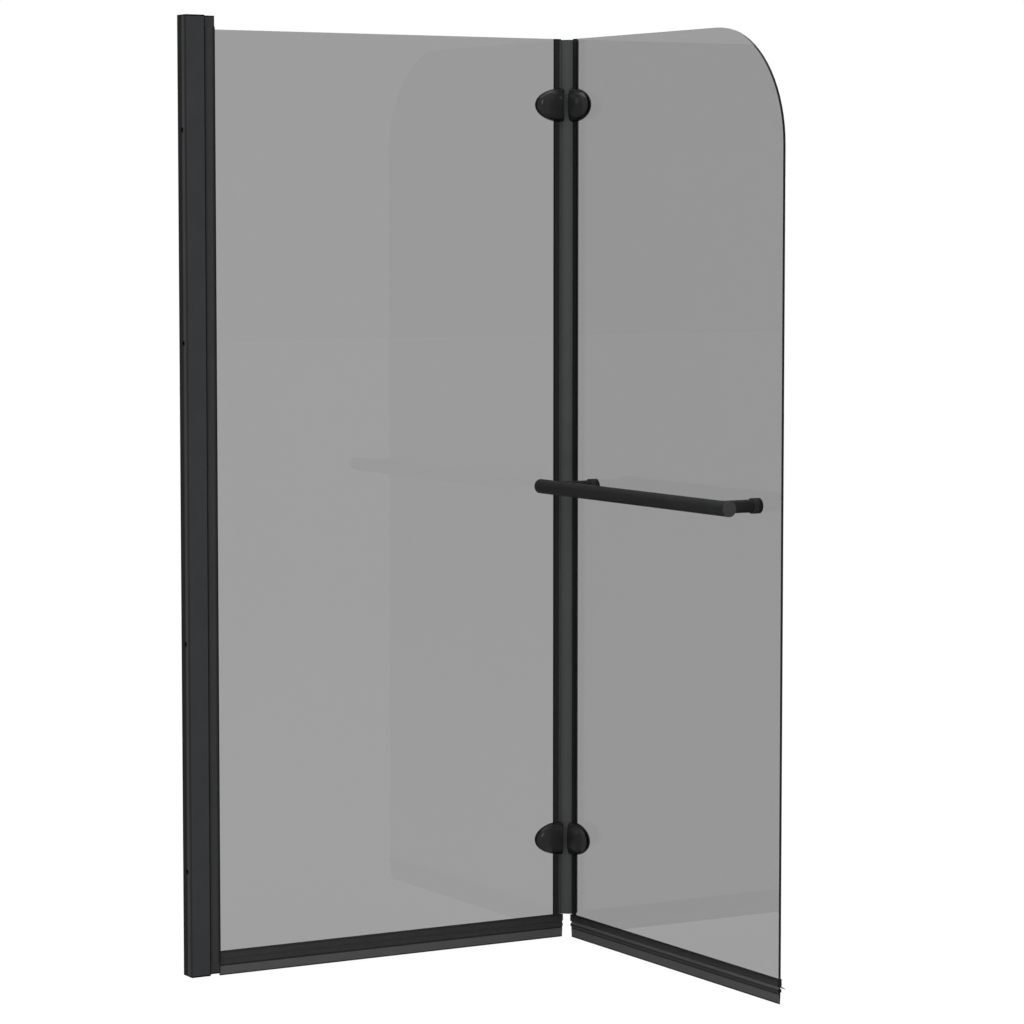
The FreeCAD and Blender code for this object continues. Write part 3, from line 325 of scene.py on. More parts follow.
@dataclass(frozen=True)
class ChannelFinish(Finish):
    """Powder coat with painted light and shade: dark bands at both ends and along the lip at its
    mouth, and on the wall face a paler strip where the holes are, darker flanks, a dark far rim and
    dark discs round the holes.
    """

    strip_middle: float = -4.6 * MM
    strip_half: float = 2.6 * MM
    strip_fade: float = 3.0 * MM
    side_blend: float = 4 * MM
    # Painted light and shade on the wall face: a paler strip between a darker near flank and a darker
    # far flank.
    strip_light_colour: Colour = (0.040, 0.040, 0.040)
    near_shade_colour: Colour = (0.0175, 0.0175, 0.0175)
    far_shade_colour: Colour = (0.0085, 0.0085, 0.0085)
    hole_heights: tuple[float, ...] = (155 * MM, 490 * MM, 927.5 * MM, 1235 * MM)
    # Painted shade: dark discs round the screw holes, wider than the holes themselves.
    hole_shade: float = 3.8 * MM
    hole_fade: float = 1.2 * MM
    hole_shade_colour: Colour = (0.001, 0.001, 0.001)
    # Painted shade: near black at the far rim of the wall face, along the lip and at both ends.
    rim_shade_colour: Colour = (0.005, 0.005, 0.005)
    rim_start: float = 12.6 * MM
    rim_fade: float = 0.5 * MM
    wall_depth: float = 0.5 * MM
    lip_start: float = 28.8 * MM
    lip_fade: float = 0.4 * MM
    foot: float = 0.0
    head: float = 1400 * MM
    cut_band: float = 2.2 * MM

    def tone(self, wiring: Wiring) -> object:
        """Return the colour of the face, with painted light and shade by its distance from the middle
        plane and from the ends.
        """
        across = wiring.place("Y")
        along = wiring.place("X")
        beside = wiring.step(across, self.strip_middle - self.side_blend,
                           self.strip_middle + self.side_blend)
        plain = wiring.blend(beside, self.near_shade_colour, self.far_shade_colour)
        off_middle = wiring.sum("ABSOLUTE", wiring.sum("SUBTRACT", across, self.strip_middle))
        off_strip = wiring.step(off_middle, self.strip_half, self.strip_half + self.strip_fade)
        wall = wiring.blend(off_strip, self.strip_light_colour, plain)
        rim = wiring.step(across, self.rim_start, self.rim_start + self.rim_fade)
        wall = wiring.blend(rim, wall, self.rim_shade_colour)
        back = wiring.sum("LESS_THAN", along, self.wall_depth)
        face = wiring.blend(back, self.colour, wall)
        height = wiring.place("Z")
        # Painted shade: a dark disc round each screw hole.
        for hole in self.hole_heights:
            above = wiring.sum("SUBTRACT", height, hole)
            apart = wiring.sum("SQRT", wiring.sum("ADD", wiring.sum("MULTIPLY", above, above),
                                                  wiring.sum("MULTIPLY", across, across)))
            shade = wiring.step(apart, self.hole_shade + self.hole_fade, self.hole_shade)
            face = wiring.blend(shade, face, self.hole_shade_colour)
        # Painted shade: dark bands at both ends and along the lip.
        ends = cut_ends(wiring, self.foot, self.head, self.cut_band)
        lip = wiring.step(along, self.lip_start, self.lip_start + self.lip_fade)
        return wiring.blend(wiring.sum("MAXIMUM", ends, lip), face, self.rim_shade_colour)


@dataclass(frozen=True)
class LengthFinish(Finish):
    """A finish for cut lengths with painted shade: dark at both cut ends, with bands of other tones
    along its edges, most of them painted shade.

    Each band has the place where it starts, the place from where it is full, and its colour.
    """

    foot: float = 0.6 * MM
    head: float = 1399.4 * MM
    cut_band: float = 2.0 * MM
    # Painted shade at both cut ends.
    cut_end_shade: Colour = (0.005, 0.005, 0.005)
    band_axis: str = "X"
    # Bands along edges and grooves: painted shade, except the wall clips' band in the vinyl's tone.
    bands: tuple[tuple[float, float, Colour], ...] = ()

    def tone(self, wiring: Wiring) -> object:
        """Return the colour of the place across the length, and the painted shade of the cut ends."""
        place = wiring.place(self.band_axis)
        face: object = self.colour
        for start, full, colour in self.bands:
            face = wiring.blend(wiring.step(place, start, full), face, colour)
        return wiring.blend(cut_ends(wiring, self.foot, self.head, self.cut_band), face,
                            self.cut_end_shade)


@dataclass(frozen=True)
class CapFinish(Finish):
    """Glossy plastic, with painted light on the mitred faces at the fold and painted shade on the
    steep rim.
    """

    inner_axis: str = "X"
    outer_axis: str = "Y"
    mitre_light_colour: Colour = (0.05, 0.051, 0.05)
    rim_shade_colour: Colour = (0.002, 0.002, 0.002)
    # Painted shade: the steep rim is near black.
    mitre_facing: tuple[float, float] = (0.35, 0.6)
    rim_facing: tuple[float, float] = (0.5, 0.25)

    def tone(self, wiring: Wiring) -> object:
        """Return the colour of the dome, of its rim with painted shade or of the mitred face with
        painted light.
        """
        mitred = wiring.step(wiring.facing(self.inner_axis), *self.mitre_facing)
        face = wiring.blend(mitred, self.colour, self.mitre_light_colour)
        outward = wiring.sum("ABSOLUTE", wiring.facing(self.outer_axis))
        rim = wiring.step(outward, *self.rim_facing)
        return wiring.blend(rim, face, self.rim_shade_colour)


@dataclass(frozen=True)
class SealFinish(Finish):
    """Rubber whose tone changes with height: a dark clip, waist and bead above a paler blade, partly
    the seal's own two tones and partly painted light and shade.

    Each zone has its foot and head in millimetres and its tone, and tones blend between zones.
    """

    end_axis: str = "X"
    # Tones by height: partly the seal's own dark clip and paler blade, partly painted light and shade
    # such as the paler waist and the dark lines.
    zones: tuple[tuple[float, float, float], ...] = (
        (-4.0, -2.6, 0.02), (-1.6, 9.6, 0.0905), (10.4, 12.5, 0.019), (13.3, 17.2, 0.0355),
        (17.9, 20.4, 0.045), (21.4, 29.0, 0.0340), (30.4, 32.0, 0.022))
    end_facing: tuple[float, float] = (0.8, 0.95)
    # Painted shade: the seal's ends are near black.
    end_shade_colour: Colour = (0.004, 0.004, 0.004)
    blueness: float = 1.01

    def tone(self, wiring: Wiring) -> object:
        """Return the colour of the height's zone, and painted shade, near black, on the seal's two
        ends.
        """
        low, high = self.zones[0][0], self.zones[-1][1]
        height = wiring.step(wiring.place("Z"), low * MM, high * MM)
        ramp = wiring.node("ValToRGB", {"Fac": height})
        stops = ramp.color_ramp.elements
        while len(stops) < 2 * len(self.zones):
            stops.new(0.5)
        levels = [(level, tone) for foot, head, tone in self.zones for level in (foot, head)]
        for stop, (level, tone) in zip(stops, levels):
            stop.position = (level - low) / (high - low)
        for stop, (level, tone) in zip(stops, levels):
            stop.color = (tone, tone, tone * self.blueness, 1.0)
        sideways = wiring.sum("ABSOLUTE", wiring.facing(self.end_axis))
        end = wiring.step(sideways, *self.end_facing)
        return wiring.blend(end, ramp.outputs["Color"], self.end_shade_colour)


@dataclass(frozen=True)
class GlassFinish:
    """Grey tinted glass, dark where its edges are seen and clear to the lamps' light."""

    name: str
    tint: Colour
    edge_tint: Colour
    shadow_tint: Colour
    across: Point
    ior: float = 1.3
    cloud: float = 0.01
    cloud_scale: float = 3.0
    edge_facing: tuple[float, float] = (0.6, 0.2)

    def build(self, effects: Effects) -> bpy.types.Material:
        """Make the material.

        Args:
            effects: The shared node groups.

        Returns:
            The finished material.
        """
        material = bpy.data.materials.new(self.name)
        material.use_nodes = True
        wiring = Wiring(material.node_tree)
        grain = wiring.node("Group", node_tree=effects.grain)
        wiring.feed(grain.inputs["Mottle Scale"], self.cloud_scale)
        facing = wiring.node("VectorMath", {
            0: wiring.node("TexCoord").outputs["Normal"], 1: self.across}, operation="DOT_PRODUCT")
        flat = wiring.sum("ABSOLUTE", facing.outputs["Value"])
        edge = wiring.step(flat, *self.edge_facing)
        cloud = wiring.between(grain.outputs["Mottle"], 1 - self.cloud, 1 + self.cloud)
        body = wiring.node("VectorMath", {0: self.tint, "Scale": cloud}, operation="SCALE")
        colour = wiring.blend(edge, body.outputs[0], self.edge_tint)
        surface = wiring.node("BsdfPrincipled", {
            "Base Color": colour, "Roughness": 0.0, "Metallic": 0.0, "IOR": self.ior,
            "Transmission Weight": 1.0})
        clear = wiring.node("BsdfTransparent", {"Color": self.shadow_tint})
        shadow = wiring.node("LightPath").outputs["Is Shadow Ray"]
        mixed = wiring.node("MixShader", {0: shadow, 1: surface.outputs[0], 2: clear.outputs[0]})
        wiring.node("OutputMaterial", {"Surface": mixed.outputs[0]})
        return material


BLACK: Colour = (0.005, 0.005, 0.005)
VINYL_TONE: Colour = (0.0672, 0.0708, 0.0694)

CHANNEL_COAT = ChannelFinish("channel_powder_coat", (0.0405, 0.0418, 0.0438), 0.6, 0.03,
                             run=Run.UPRIGHT, line_height=0.01, line_tone=0.05)
# Painted shade: the sliding profile is the channel's coat made near black, standing for the shade in
# the groove beside it.
SLIDE_SHADE_COAT = LengthFinish("sliding_profile_shade_coat", BLACK, 0.6, 0.08,
                          run=Run.UPRIGHT, line_height=0.01, line_tone=0.05)
# Painted shade: a black band where the profile runs into the channel's groove and a dark band at its
# edge by the glass.
TURNING_COAT = LengthFinish(
    "turning_profile_coat", (0.038, 0.0392, 0.0385), 0.6, 0.08,
    run=Run.UPRIGHT, line_height=0.01, line_tone=0.05,
    bands=((35.0 * MM, 33.8 * MM, BLACK), (44.5 * MM, 49.5 * MM, (0.006, 0.0065, 0.006))))
# Painted shade: a black band at the block's edge by the glass.
BLOCK_COAT = LengthFinish("end_block_plastic", (0.034, 0.035, 0.0345), 0.55, 0.1,
                          bands=((47.6 * MM, 48.2 * MM, BLACK),))
# The bar, posts, collars and hinge caps carry painted shade on faces that look down.
BAR_COAT = Finish("bar_powder_coat", (0.0142, 0.015, 0.0147), 0.5, 0.09,
                  run=Run.ALONG_Y, line_height=0.008, line_tone=0.05, underside_shade=0.2)
# Painted light: the bar's end discs are the bar's coat made paler, as if lit.
PLUG_LIT_COAT = Finish("bar_end_lit_coat", (0.0345, 0.0354, 0.0348), 0.45, 0.12)
POST_COAT = Finish("post_powder_coat", (0.0125, 0.0128, 0.0126), 0.45, 0.1, underside_shade=0.15)
# Painted shade: a dark band at the collar's end by the glass.
COLLAR_COAT = LengthFinish("collar_powder_coat", (0.027, 0.0274, 0.0272), 0.45, 0.1,
                           foot=-1.0, head=3.0, underside_shade=0.15,
                           bands=((640 * MM, 647.5 * MM, (0.004, 0.004, 0.004)),))
# The wall and folding caps are one plastic; their different colours are painted light and shade.
WALL_CAP = CapFinish("wall_cap_plastic", (0.0135, 0.0139, 0.0148), 0.13, 0.15, coat=0.05,
                     grain_scale=1400.0, grain_height=0.004, mottle=0.05, underside_shade=0.3)
FOLDING_CAP = CapFinish("folding_cap_plastic", (0.0155, 0.016, 0.0162), 0.13, 0.15, coat=0.05,
                        grain_scale=1400.0, grain_height=0.004, mottle=0.05, underside_shade=0.3,
                        inner_axis="Y", outer_axis="X")
# The wall and folding clips are one plastic; their different colours are painted light and shade.
# Painted shade: a black band at the wall clip's outer end and a dark band at the folding clip's outer
# end; the wall clip's end at the fold takes the vinyl's tone.
WALL_CLIP = LengthFinish(
    "wall_clip_plastic", (0.0222, 0.0226, 0.0224), 0.45, 0.08, head=1380 * MM,
    run=Run.UPRIGHT, line_height=0.012, line_tone=0.12,
    bands=((623.6 * MM, 623.0 * MM, BLACK), (631.3 * MM, 632.0 * MM, VINYL_TONE)))
FOLDING_CLIP = LengthFinish(
    "folding_clip_plastic", (0.0135, 0.0138, 0.0136), 0.45, 0.08, head=1380 * MM,
    run=Run.UPRIGHT, line_height=0.012, line_tone=0.12, band_axis="Y",
    bands=((-24.5 * MM, -27.0 * MM, (0.006, 0.006, 0.006)),))
BLOCK_PLASTIC = Finish("block_plastic", (0.012, 0.012, 0.0122), 0.5, 0.25)
# Painted shade: dark bands at both cut ends of the bulb seals.
SOFT_VINYL = LengthFinish("soft_vinyl", VINYL_TONE, 0.65, 0.1, head=1378.7 * MM,
                          cut_band=0.8 * MM, cut_end_shade=(0.03, 0.03, 0.03),
                          run=Run.UPRIGHT, line_height=0.03, line_tone=0.1)
# The two seals are one rubber; their different zones are painted light and shade.
SEAL_RUBBER = SealFinish("seal_rubber", (0.02, 0.02, 0.02), 0.6, 0.1,
                         run=Run.ALONG_X, line_height=0.02, line_tone=0.08)
FOLDING_SEAL_RUBBER = SealFinish(
    "folding_seal_rubber", (0.02, 0.02, 0.02), 0.6, 0.1,
    run=Run.ALONG_Y, line_height=0.02, line_tone=0.08, end_axis="Y",
    zones=((-4.0, -2.6, 0.02), (-1.0, 9.0, 0.069), (10.4, 12.3, 0.016), (13.2, 14.4, 0.024),
           (15.0, 17.0, 0.016), (17.7, 20.6, 0.105), (21.4, 28.6, 0.0205), (29.8, 32.0, 0.009)))
GASKET_RUBBER = Finish("gasket_rubber", (0.0055, 0.0055, 0.0057), 0.65, 0.08,
                       run=Run.UPRIGHT, line_height=0.02, line_tone=0.06)
STAINLESS = Finish("stainless_steel", (0.58, 0.58, 0.57), 0.25, 0.5, metallic=1.0, mottle=0.05,
                   grain_height=0.004, dust=0.05)
CAST_METAL = Finish("cast_metal", (0.060, 0.0624, 0.061), 0.6, 0.1, grain_scale=1200.0,
                    grain_height=0.05)
WASHER_NYLON = Finish("black_nylon", (0.016, 0.016, 0.016), 0.45, 0.2, mottle=0.05)
# The two panes are one glass; the folding pane's darker tint is painted shade.
WALL_GLASS = GlassFinish("wall_tinted_glass", (0.327, 0.327, 0.327), (0.0, 0.0, 0.0),
                         (0.6, 0.6, 0.6), (0.0, 1.0, 0.0))
FOLDING_GLASS = GlassFinish("folding_tinted_glass", (0.308, 0.308, 0.308), (0.0, 0.0, 0.0),
                            (0.6, 0.6, 0.6), (1.0, 0.0, 0.0))


class Finishes:
    """The finishes in use, each made into a material once."""

    def __init__(self) -> None:
        """Start with the shared effects and no material."""
        self.effects = Effects()
        self.made: dict[str, bpy.types.Material] = {}

    def material(self, finish: Finish | GlassFinish) -> bpy.types.Material:
        """Return a finish's material, made when it is first asked for."""
        if finish.name not in self.made:
            self.made[finish.name] = finish.build(self.effects)
        return self.made[finish.name]

    def dress(self, node: str, finish: Finish | GlassFinish) -> None:
        """Give a node of the frame its finish, through all its material slots.

        Args:
            node: The node's name.
            finish: The finish that it gets.
        """
        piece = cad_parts[node]
        if not piece.material_slots:
            piece.data.materials.append(self.material(finish))
        for holder in piece.material_slots:
            holder.material = self.material(finish)
        LOG.info("%s wears %s", node, finish.name)


def grid_faces(rows: int, columns: int, closed: bool = False) -> np.ndarray:
    """Join a grid of points into quads.

    Point (row, column) has the number row * columns + column, and each quad takes a point, the
    next one in its row, and the two under them. A closed grid joins its last column to its first.

    Args:
        rows: How many rows of points there are.
        columns: How many points each row has.
        closed: Whether each row closes on itself.

    Returns:
        The quads' point numbers, four to a line.
    """
    row = np.arange(rows - 1)[:, None]
    column = np.arange(columns if closed else columns - 1)[None, :]
    beside = (column + 1) % columns
    corners = (row * columns + column, row * columns + beside,
               (row + 1) * columns + beside, (row + 1) * columns + column)
    return np.stack(np.broadcast_arrays(*corners), axis=-1).reshape(-1, 4)


def round_profile(corners: np.ndarray, radius: float, steps: int) -> np.ndarray:
    """Round the corners of a closed outline.

    Each corner P gives way to the curve (1-t)^2 A + 2t(1-t) P + t^2 B, where A and B lie on the
    two sides at the radius from P, or at a set share of a side that is shorter.

    Args:
        corners: The outline's corners, two numbers each.
        radius: How far from a corner the rounding starts.
        steps: How many points each curve has.

    Returns:
        The rounded outline's points.
    """
    back = np.roll(corners, 1, axis=0) - corners
    ahead = np.roll(corners, -1, axis=0) - corners
    back_length = np.linalg.norm(back, axis=1, keepdims=True)
    ahead_length = np.linalg.norm(ahead, axis=1, keepdims=True)
    start = corners + back / back_length * np.minimum(radius, SIDE_SHARE * back_length)
    end = corners + ahead / ahead_length * np.minimum(radius, SIDE_SHARE * ahead_length)
    share = np.linspace(0.0, 1.0, steps)[None, :, None]
    curve = ((1 - share) ** 2 * start[:, None] + 2 * share * (1 - share) * corners[:, None]
             + share ** 2 * end[:, None])
    return curve.reshape(-1, 2)


@dataclass
class Surface:
    """Points and faces of a piece, gathered before they become a mesh."""

    points: list[np.ndarray] = field(default_factory=list)
    faces: list[list[int]] = field(default_factory=list)

    def add(self, points: np.ndarray, faces: list[list[int]]) -> None:
        """Add a patch whose faces count from its own first point."""
        offset = sum(len(patch) for patch in self.points)
        self.points.append(points.reshape(-1, 3))
        self.faces.extend([[offset + number for number in face] for face in faces])

    def build(self, name: str, body: Body, slot: Slot, material: bpy.types.Material,
              replaces: tuple[str, ...], sharp_angle: float = 40.0) -> None:
        """Make the mesh, close its seams, turn its faces outwards and let it ride on its body.

        Args:
            name: The piece's name.
            body: The body that it rides on.
            slot: The record's material slot; not used.
            material: Its material.
            replaces: The nodes that it stands for.
            sharp_angle: The least angle in degrees at which an edge stays sharp.
        """
        mesh = bpy.data.meshes.new(name)
        mesh.from_pydata(np.concatenate(self.points).tolist(), [], self.faces)
        piece = bpy.data.objects.new(name, mesh)
        bpy.context.scene.collection.objects.link(piece)
        self.close(mesh)
        mesh.polygons.foreach_set("use_smooth", np.ones(len(mesh.polygons), dtype=bool))
        mesh.set_sharp_from_angle(angle=math.radians(sharp_angle))
        mesh.materials.append(material)
        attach(piece, body.value)
        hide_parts(*replaces)
        LOG.info("%s made with %d faces", name, len(mesh.polygons))

    @staticmethod
    def close(mesh: bpy.types.Mesh) -> None:
        """Merge points that lie on each other and recalculate the normals outwards."""
        edit = bmesh.new()
        edit.from_mesh(mesh)
        bmesh.ops.remove_doubles(edit, verts=edit.verts, dist=MERGE_REACH)
        bmesh.ops.dissolve_degenerate(edit, dist=THIN_EDGE, edges=edit.edges)
        bmesh.ops.recalc_face_normals(edit, faces=edit.faces)
        edit.to_mesh(mesh)
        edit.free()
        mesh.update()


@dataclass(frozen=True)
class PanelFrame:
    """A panel's own frame: along runs away from the fold axis, across is its thickness."""

    along: tuple[float, float]
    across: tuple[float, float]
    axis_x: float = 651 * MM

    def place(self, along: np.ndarray, across: np.ndarray, height: np.ndarray) -> np.ndarray:
        """Turn lengths along, across and up a panel into points of the scene.

        Args:
            along: Lengths away from the fold axis.
            across: Lengths towards the room side.
            height: Heights above the channel's foot.

        Returns:
            The points, with three numbers on the last axis.
        """
        x = self.axis_x + along * self.along[0] + across * self.across[0]
        y = along * self.along[1] + across * self.across[1]
        return np.stack(np.broadcast_arrays(x, y, height), axis=-1)


WALL_PANEL = PanelFrame(along=(-1.0, 0.0), across=(0.0, -1.0))
FOLDING_PANEL = PanelFrame(along=(0.0, -1.0), across=(-1.0, 0.0))


@dataclass
class WallProfile:
    """The fixed side: channel, sliding profile with its end blocks, pins, washers and screws."""

    finishes: Finishes
    screw_x: float = 18 * MM
    screw_face: float = 14.5 * MM
    screw_heights: tuple[float, ...] = (0.2, 0.7, 1.2)
    head_radius: float = 3.6 * MM
    head_height: float = 2 * MM
    shank_radius: float = 1.7 * MM
    shank_length: float = 7 * MM
    slot_half: float = 0.45 * MM
    slot_reach: float = 2.1 * MM
    slot_depth: float = 1.1 * MM
    slot_side: float = 0.12 * MM
    slot_end: float = 0.35 * MM
    slot_rise: float = 0.35
    shank_taper: float = 0.8 * MM
    bulge: float = 0.85
    seat_share: float = 0.5
    rings: int = 40
    turns: int = 96

    def build(self) -> None:
        """Dress the fixed nodes and make the screws of the sliding profile."""
        self.finishes.dress("wall_channel", CHANNEL_COAT)
        self.finishes.dress("sliding_profile", SLIDE_SHADE_COAT)
        for node in ("bottom_end_block", "top_end_block"):
            self.finishes.dress(node, BLOCK_COAT)
        for node in ("bottom_pivot_pin", "top_pivot_pin"):
            self.finishes.dress(node, STAINLESS)
        for node in ("bottom_pivot_washer", "top_pivot_washer"):
            self.finishes.dress(node, WASHER_NYLON)
        self.make_screws()

    def make_screws(self) -> None:
        """Make pan heads with a cross recess.

        On a polar grid the head's height is h * sqrt(1 - (b r / R)^2), where b is the bulge, less
        the recess where the point lies within the half width of either arm of the cross and within
        its reach. The recess deepens towards the middle. Under the head come its rim, its flat and
        the shank.
        """
        surface = Surface()
        radius = np.linspace(0.0, 1.0, self.rings)[:, None] * self.head_radius
        angle = np.linspace(0.0, 2 * np.pi, self.turns, endpoint=False)[None, :]
        x, z = radius * np.cos(angle), radius * np.sin(angle)
        dome = self.head_height * np.sqrt(1 - (self.bulge * radius / self.head_radius) ** 2)
        dome = dome - self.head_height * np.sqrt(1 - self.bulge ** 2) * self.seat_share
        off_arm = np.minimum(np.abs(x), np.abs(z))
        in_width = np.clip((self.slot_half - off_arm) / self.slot_side, 0.0, 1.0)
        reach = np.clip((self.slot_reach - radius) / self.slot_end, 0.0, 1.0)
        depth = self.slot_depth * (1 - self.slot_rise * radius / self.slot_reach)
        height = dome - in_width * reach * depth
        under = [(self.head_radius, 0.0), (self.shank_radius, 0.0),
                 (self.shank_radius, self.shank_taper - self.shank_length),
                 (0.0, -self.shank_length)]
        for level in self.screw_heights:
            rows = [np.stack([self.screw_x + x, np.broadcast_to(self.screw_face + height, x.shape),
                              level + z], axis=-1)]
            for ring, low in under:
                rows.append(np.stack([self.screw_x + ring * np.cos(angle),
                                      np.full_like(angle, self.screw_face + low),
                                      level + ring * np.sin(angle)], axis=-1))
            points = np.concatenate(rows)
            surface.add(points, grid_faces(self.rings + len(under), self.turns, True).tolist())
        surface.build("sliding_profile_screws", Body.WALL_SIDE, Slot.STEEL,
                      self.finishes.material(STAINLESS), ("slide_screws",))


@dataclass
class BottomSeal:
    """A rubber seal under one panel: clip, bead, wiping blade and drip fin."""

    finishes: Finishes
    panel: PanelFrame
    body: Body
    finish: SealFinish
    name: str
    replaces: str
    start: float
    end: float
    fin_end: float
    fin_start_gap: float = 1 * MM
    glass_half: float = 2.05 * MM
    glass_bottom: float = 22.5 * MM
    rounding: float = 0.7 * MM
    fin_rounding: float = 0.25 * MM
    corner_steps: int = 5
    fin_steps: int = 4
    rows: int = 60

    def half_section(self) -> np.ndarray:
        """Return the half section's corners from the clip's mouth down to the lip."""
        return np.array([
            (2.05, 32.0), (2.5, 32.3), (3.3, 32.0), (3.6, 31.0), (3.5, 29.9), (3.05, 29.4),
            (3.05, 28.7), (3.5, 28.1), (3.5, 22.2), (3.2, 21.4), (1.0, 20.6), (0.95, 18.5),
            (2.4, 17.6), (3.05, 16.6), (3.05, 14.4), (2.5, 13.3), (1.1, 12.1), (1.1, 10.6),
            (1.5, 9.8), (1.35, 8.6), (0.75, 0.0), (0.6, -4.0)]) * MM

    def build(self) -> None:
        """Carry the section along the panel and add the fin.

        The section's corners are rounded, mirrored and closed through the clip's floor. Every
        row of the grid is that outline, and the rows stand evenly along the panel. Two outlines
        as faces close the ends.
        """
        half = self.half_section()
        mirrored = half[::-1] * np.array([-1.0, 1.0])
        floor = np.array([(-self.glass_half, self.glass_bottom),
                          (self.glass_half, self.glass_bottom)])
        section = round_profile(np.concatenate([half, mirrored, floor]), self.rounding,
                                self.corner_steps)
        surface = Surface()
        self.sweep(surface, section, np.full(len(section), self.start), self.end)
        fin = np.array([
            (0.9, 21.9), (2.2, 21.6), (5.2, 19.8), (8.4, 17.9), (10.3, 17.2), (10.3, 16.4),
            (8.2, 17.0), (5.0, 18.9), (2.2, 20.7), (0.9, 20.7)]) * MM
        fin = round_profile(fin, self.fin_rounding, self.fin_steps)
        lean = self.start + self.fin_start_gap + np.clip(fin[:, 0], 0.0, None)
        self.sweep(surface, fin * np.array([-1.0, 1.0]), lean, self.fin_end)
        surface.build(self.name, self.body, Slot.RUBBER, self.finishes.material(self.finish),
                      (self.replaces,))

    def sweep(self, surface: Surface, section: np.ndarray, start: np.ndarray, end: float) -> None:
        """Carry a closed section along the panel and close its ends.

        Args:
            surface: The surface that takes the points.
            section: The section's points across and up.
            start: Where each point starts along the panel, so that an end can be mitred.
            end: Where all the points end.
        """
        share = np.linspace(0.0, 1.0, self.rows)[:, None]
        along = start[None, :] * (1 - share) + end * share
        points = self.panel.place(along, section[None, :, 0], section[None, :, 1])
        count = len(section)
        faces = grid_faces(self.rows, count, closed=True).tolist()
        faces.append(list(range(count))[::-1])
        faces.append(list(range((self.rows - 1) * count, self.rows * count)))
        surface.add(points, faces)


@dataclass
class WallPanel:
    """The panel on the wall profile: turning profile, gasket, glass, seal, clips and bulb seals."""

    finishes: Finishes
    seal_start: float = 11.5 * MM
    seal_end: float = 599.7 * MM
    fin_end: float = 594.7 * MM

    def build(self) -> None:
        """Dress the panel's nodes and make its bottom seal."""
        self.finishes.dress("turning_profile", TURNING_COAT)
        self.finishes.dress("glazing_gasket", GASKET_RUBBER)
        self.finishes.dress("wall_glass", WALL_GLASS)
        for place in ("lower", "middle", "upper"):
            self.finishes.dress("wall_edge_clip_" + place, WALL_CLIP)
            self.finishes.dress("bulb_seal_" + place, SOFT_VINYL)
        BottomSeal(self.finishes, WALL_PANEL, Body.WALL_PANEL, SEAL_RUBBER,
                   "wall_panel_bottom_seal", "wall_bottom_seal",
                   self.seal_start, self.seal_end, self.fin_end).build()


@dataclass
class FoldingPanel:
    """The folding panel: glass, seal and clips."""

    finishes: Finishes
    seal_start: float = 11.5 * MM
    seal_end: float = 581 * MM

    def build(self) -> None:
        """Dress the panel's nodes and make its bottom seal."""
        self.finishes.dress("folding_glass", FOLDING_GLASS)
        for place in ("lower", "middle", "upper"):
            self.finishes.dress("folding_edge_clip_" + place, FOLDING_CLIP)
        BottomSeal(self.finishes, FOLDING_PANEL, Body.FOLDING_PANEL, FOLDING_SEAL_RUBBER,
                   "folding_panel_bottom_seal", "folding_bottom_seal",
                   self.seal_start, self.seal_end, self.seal_end).build()


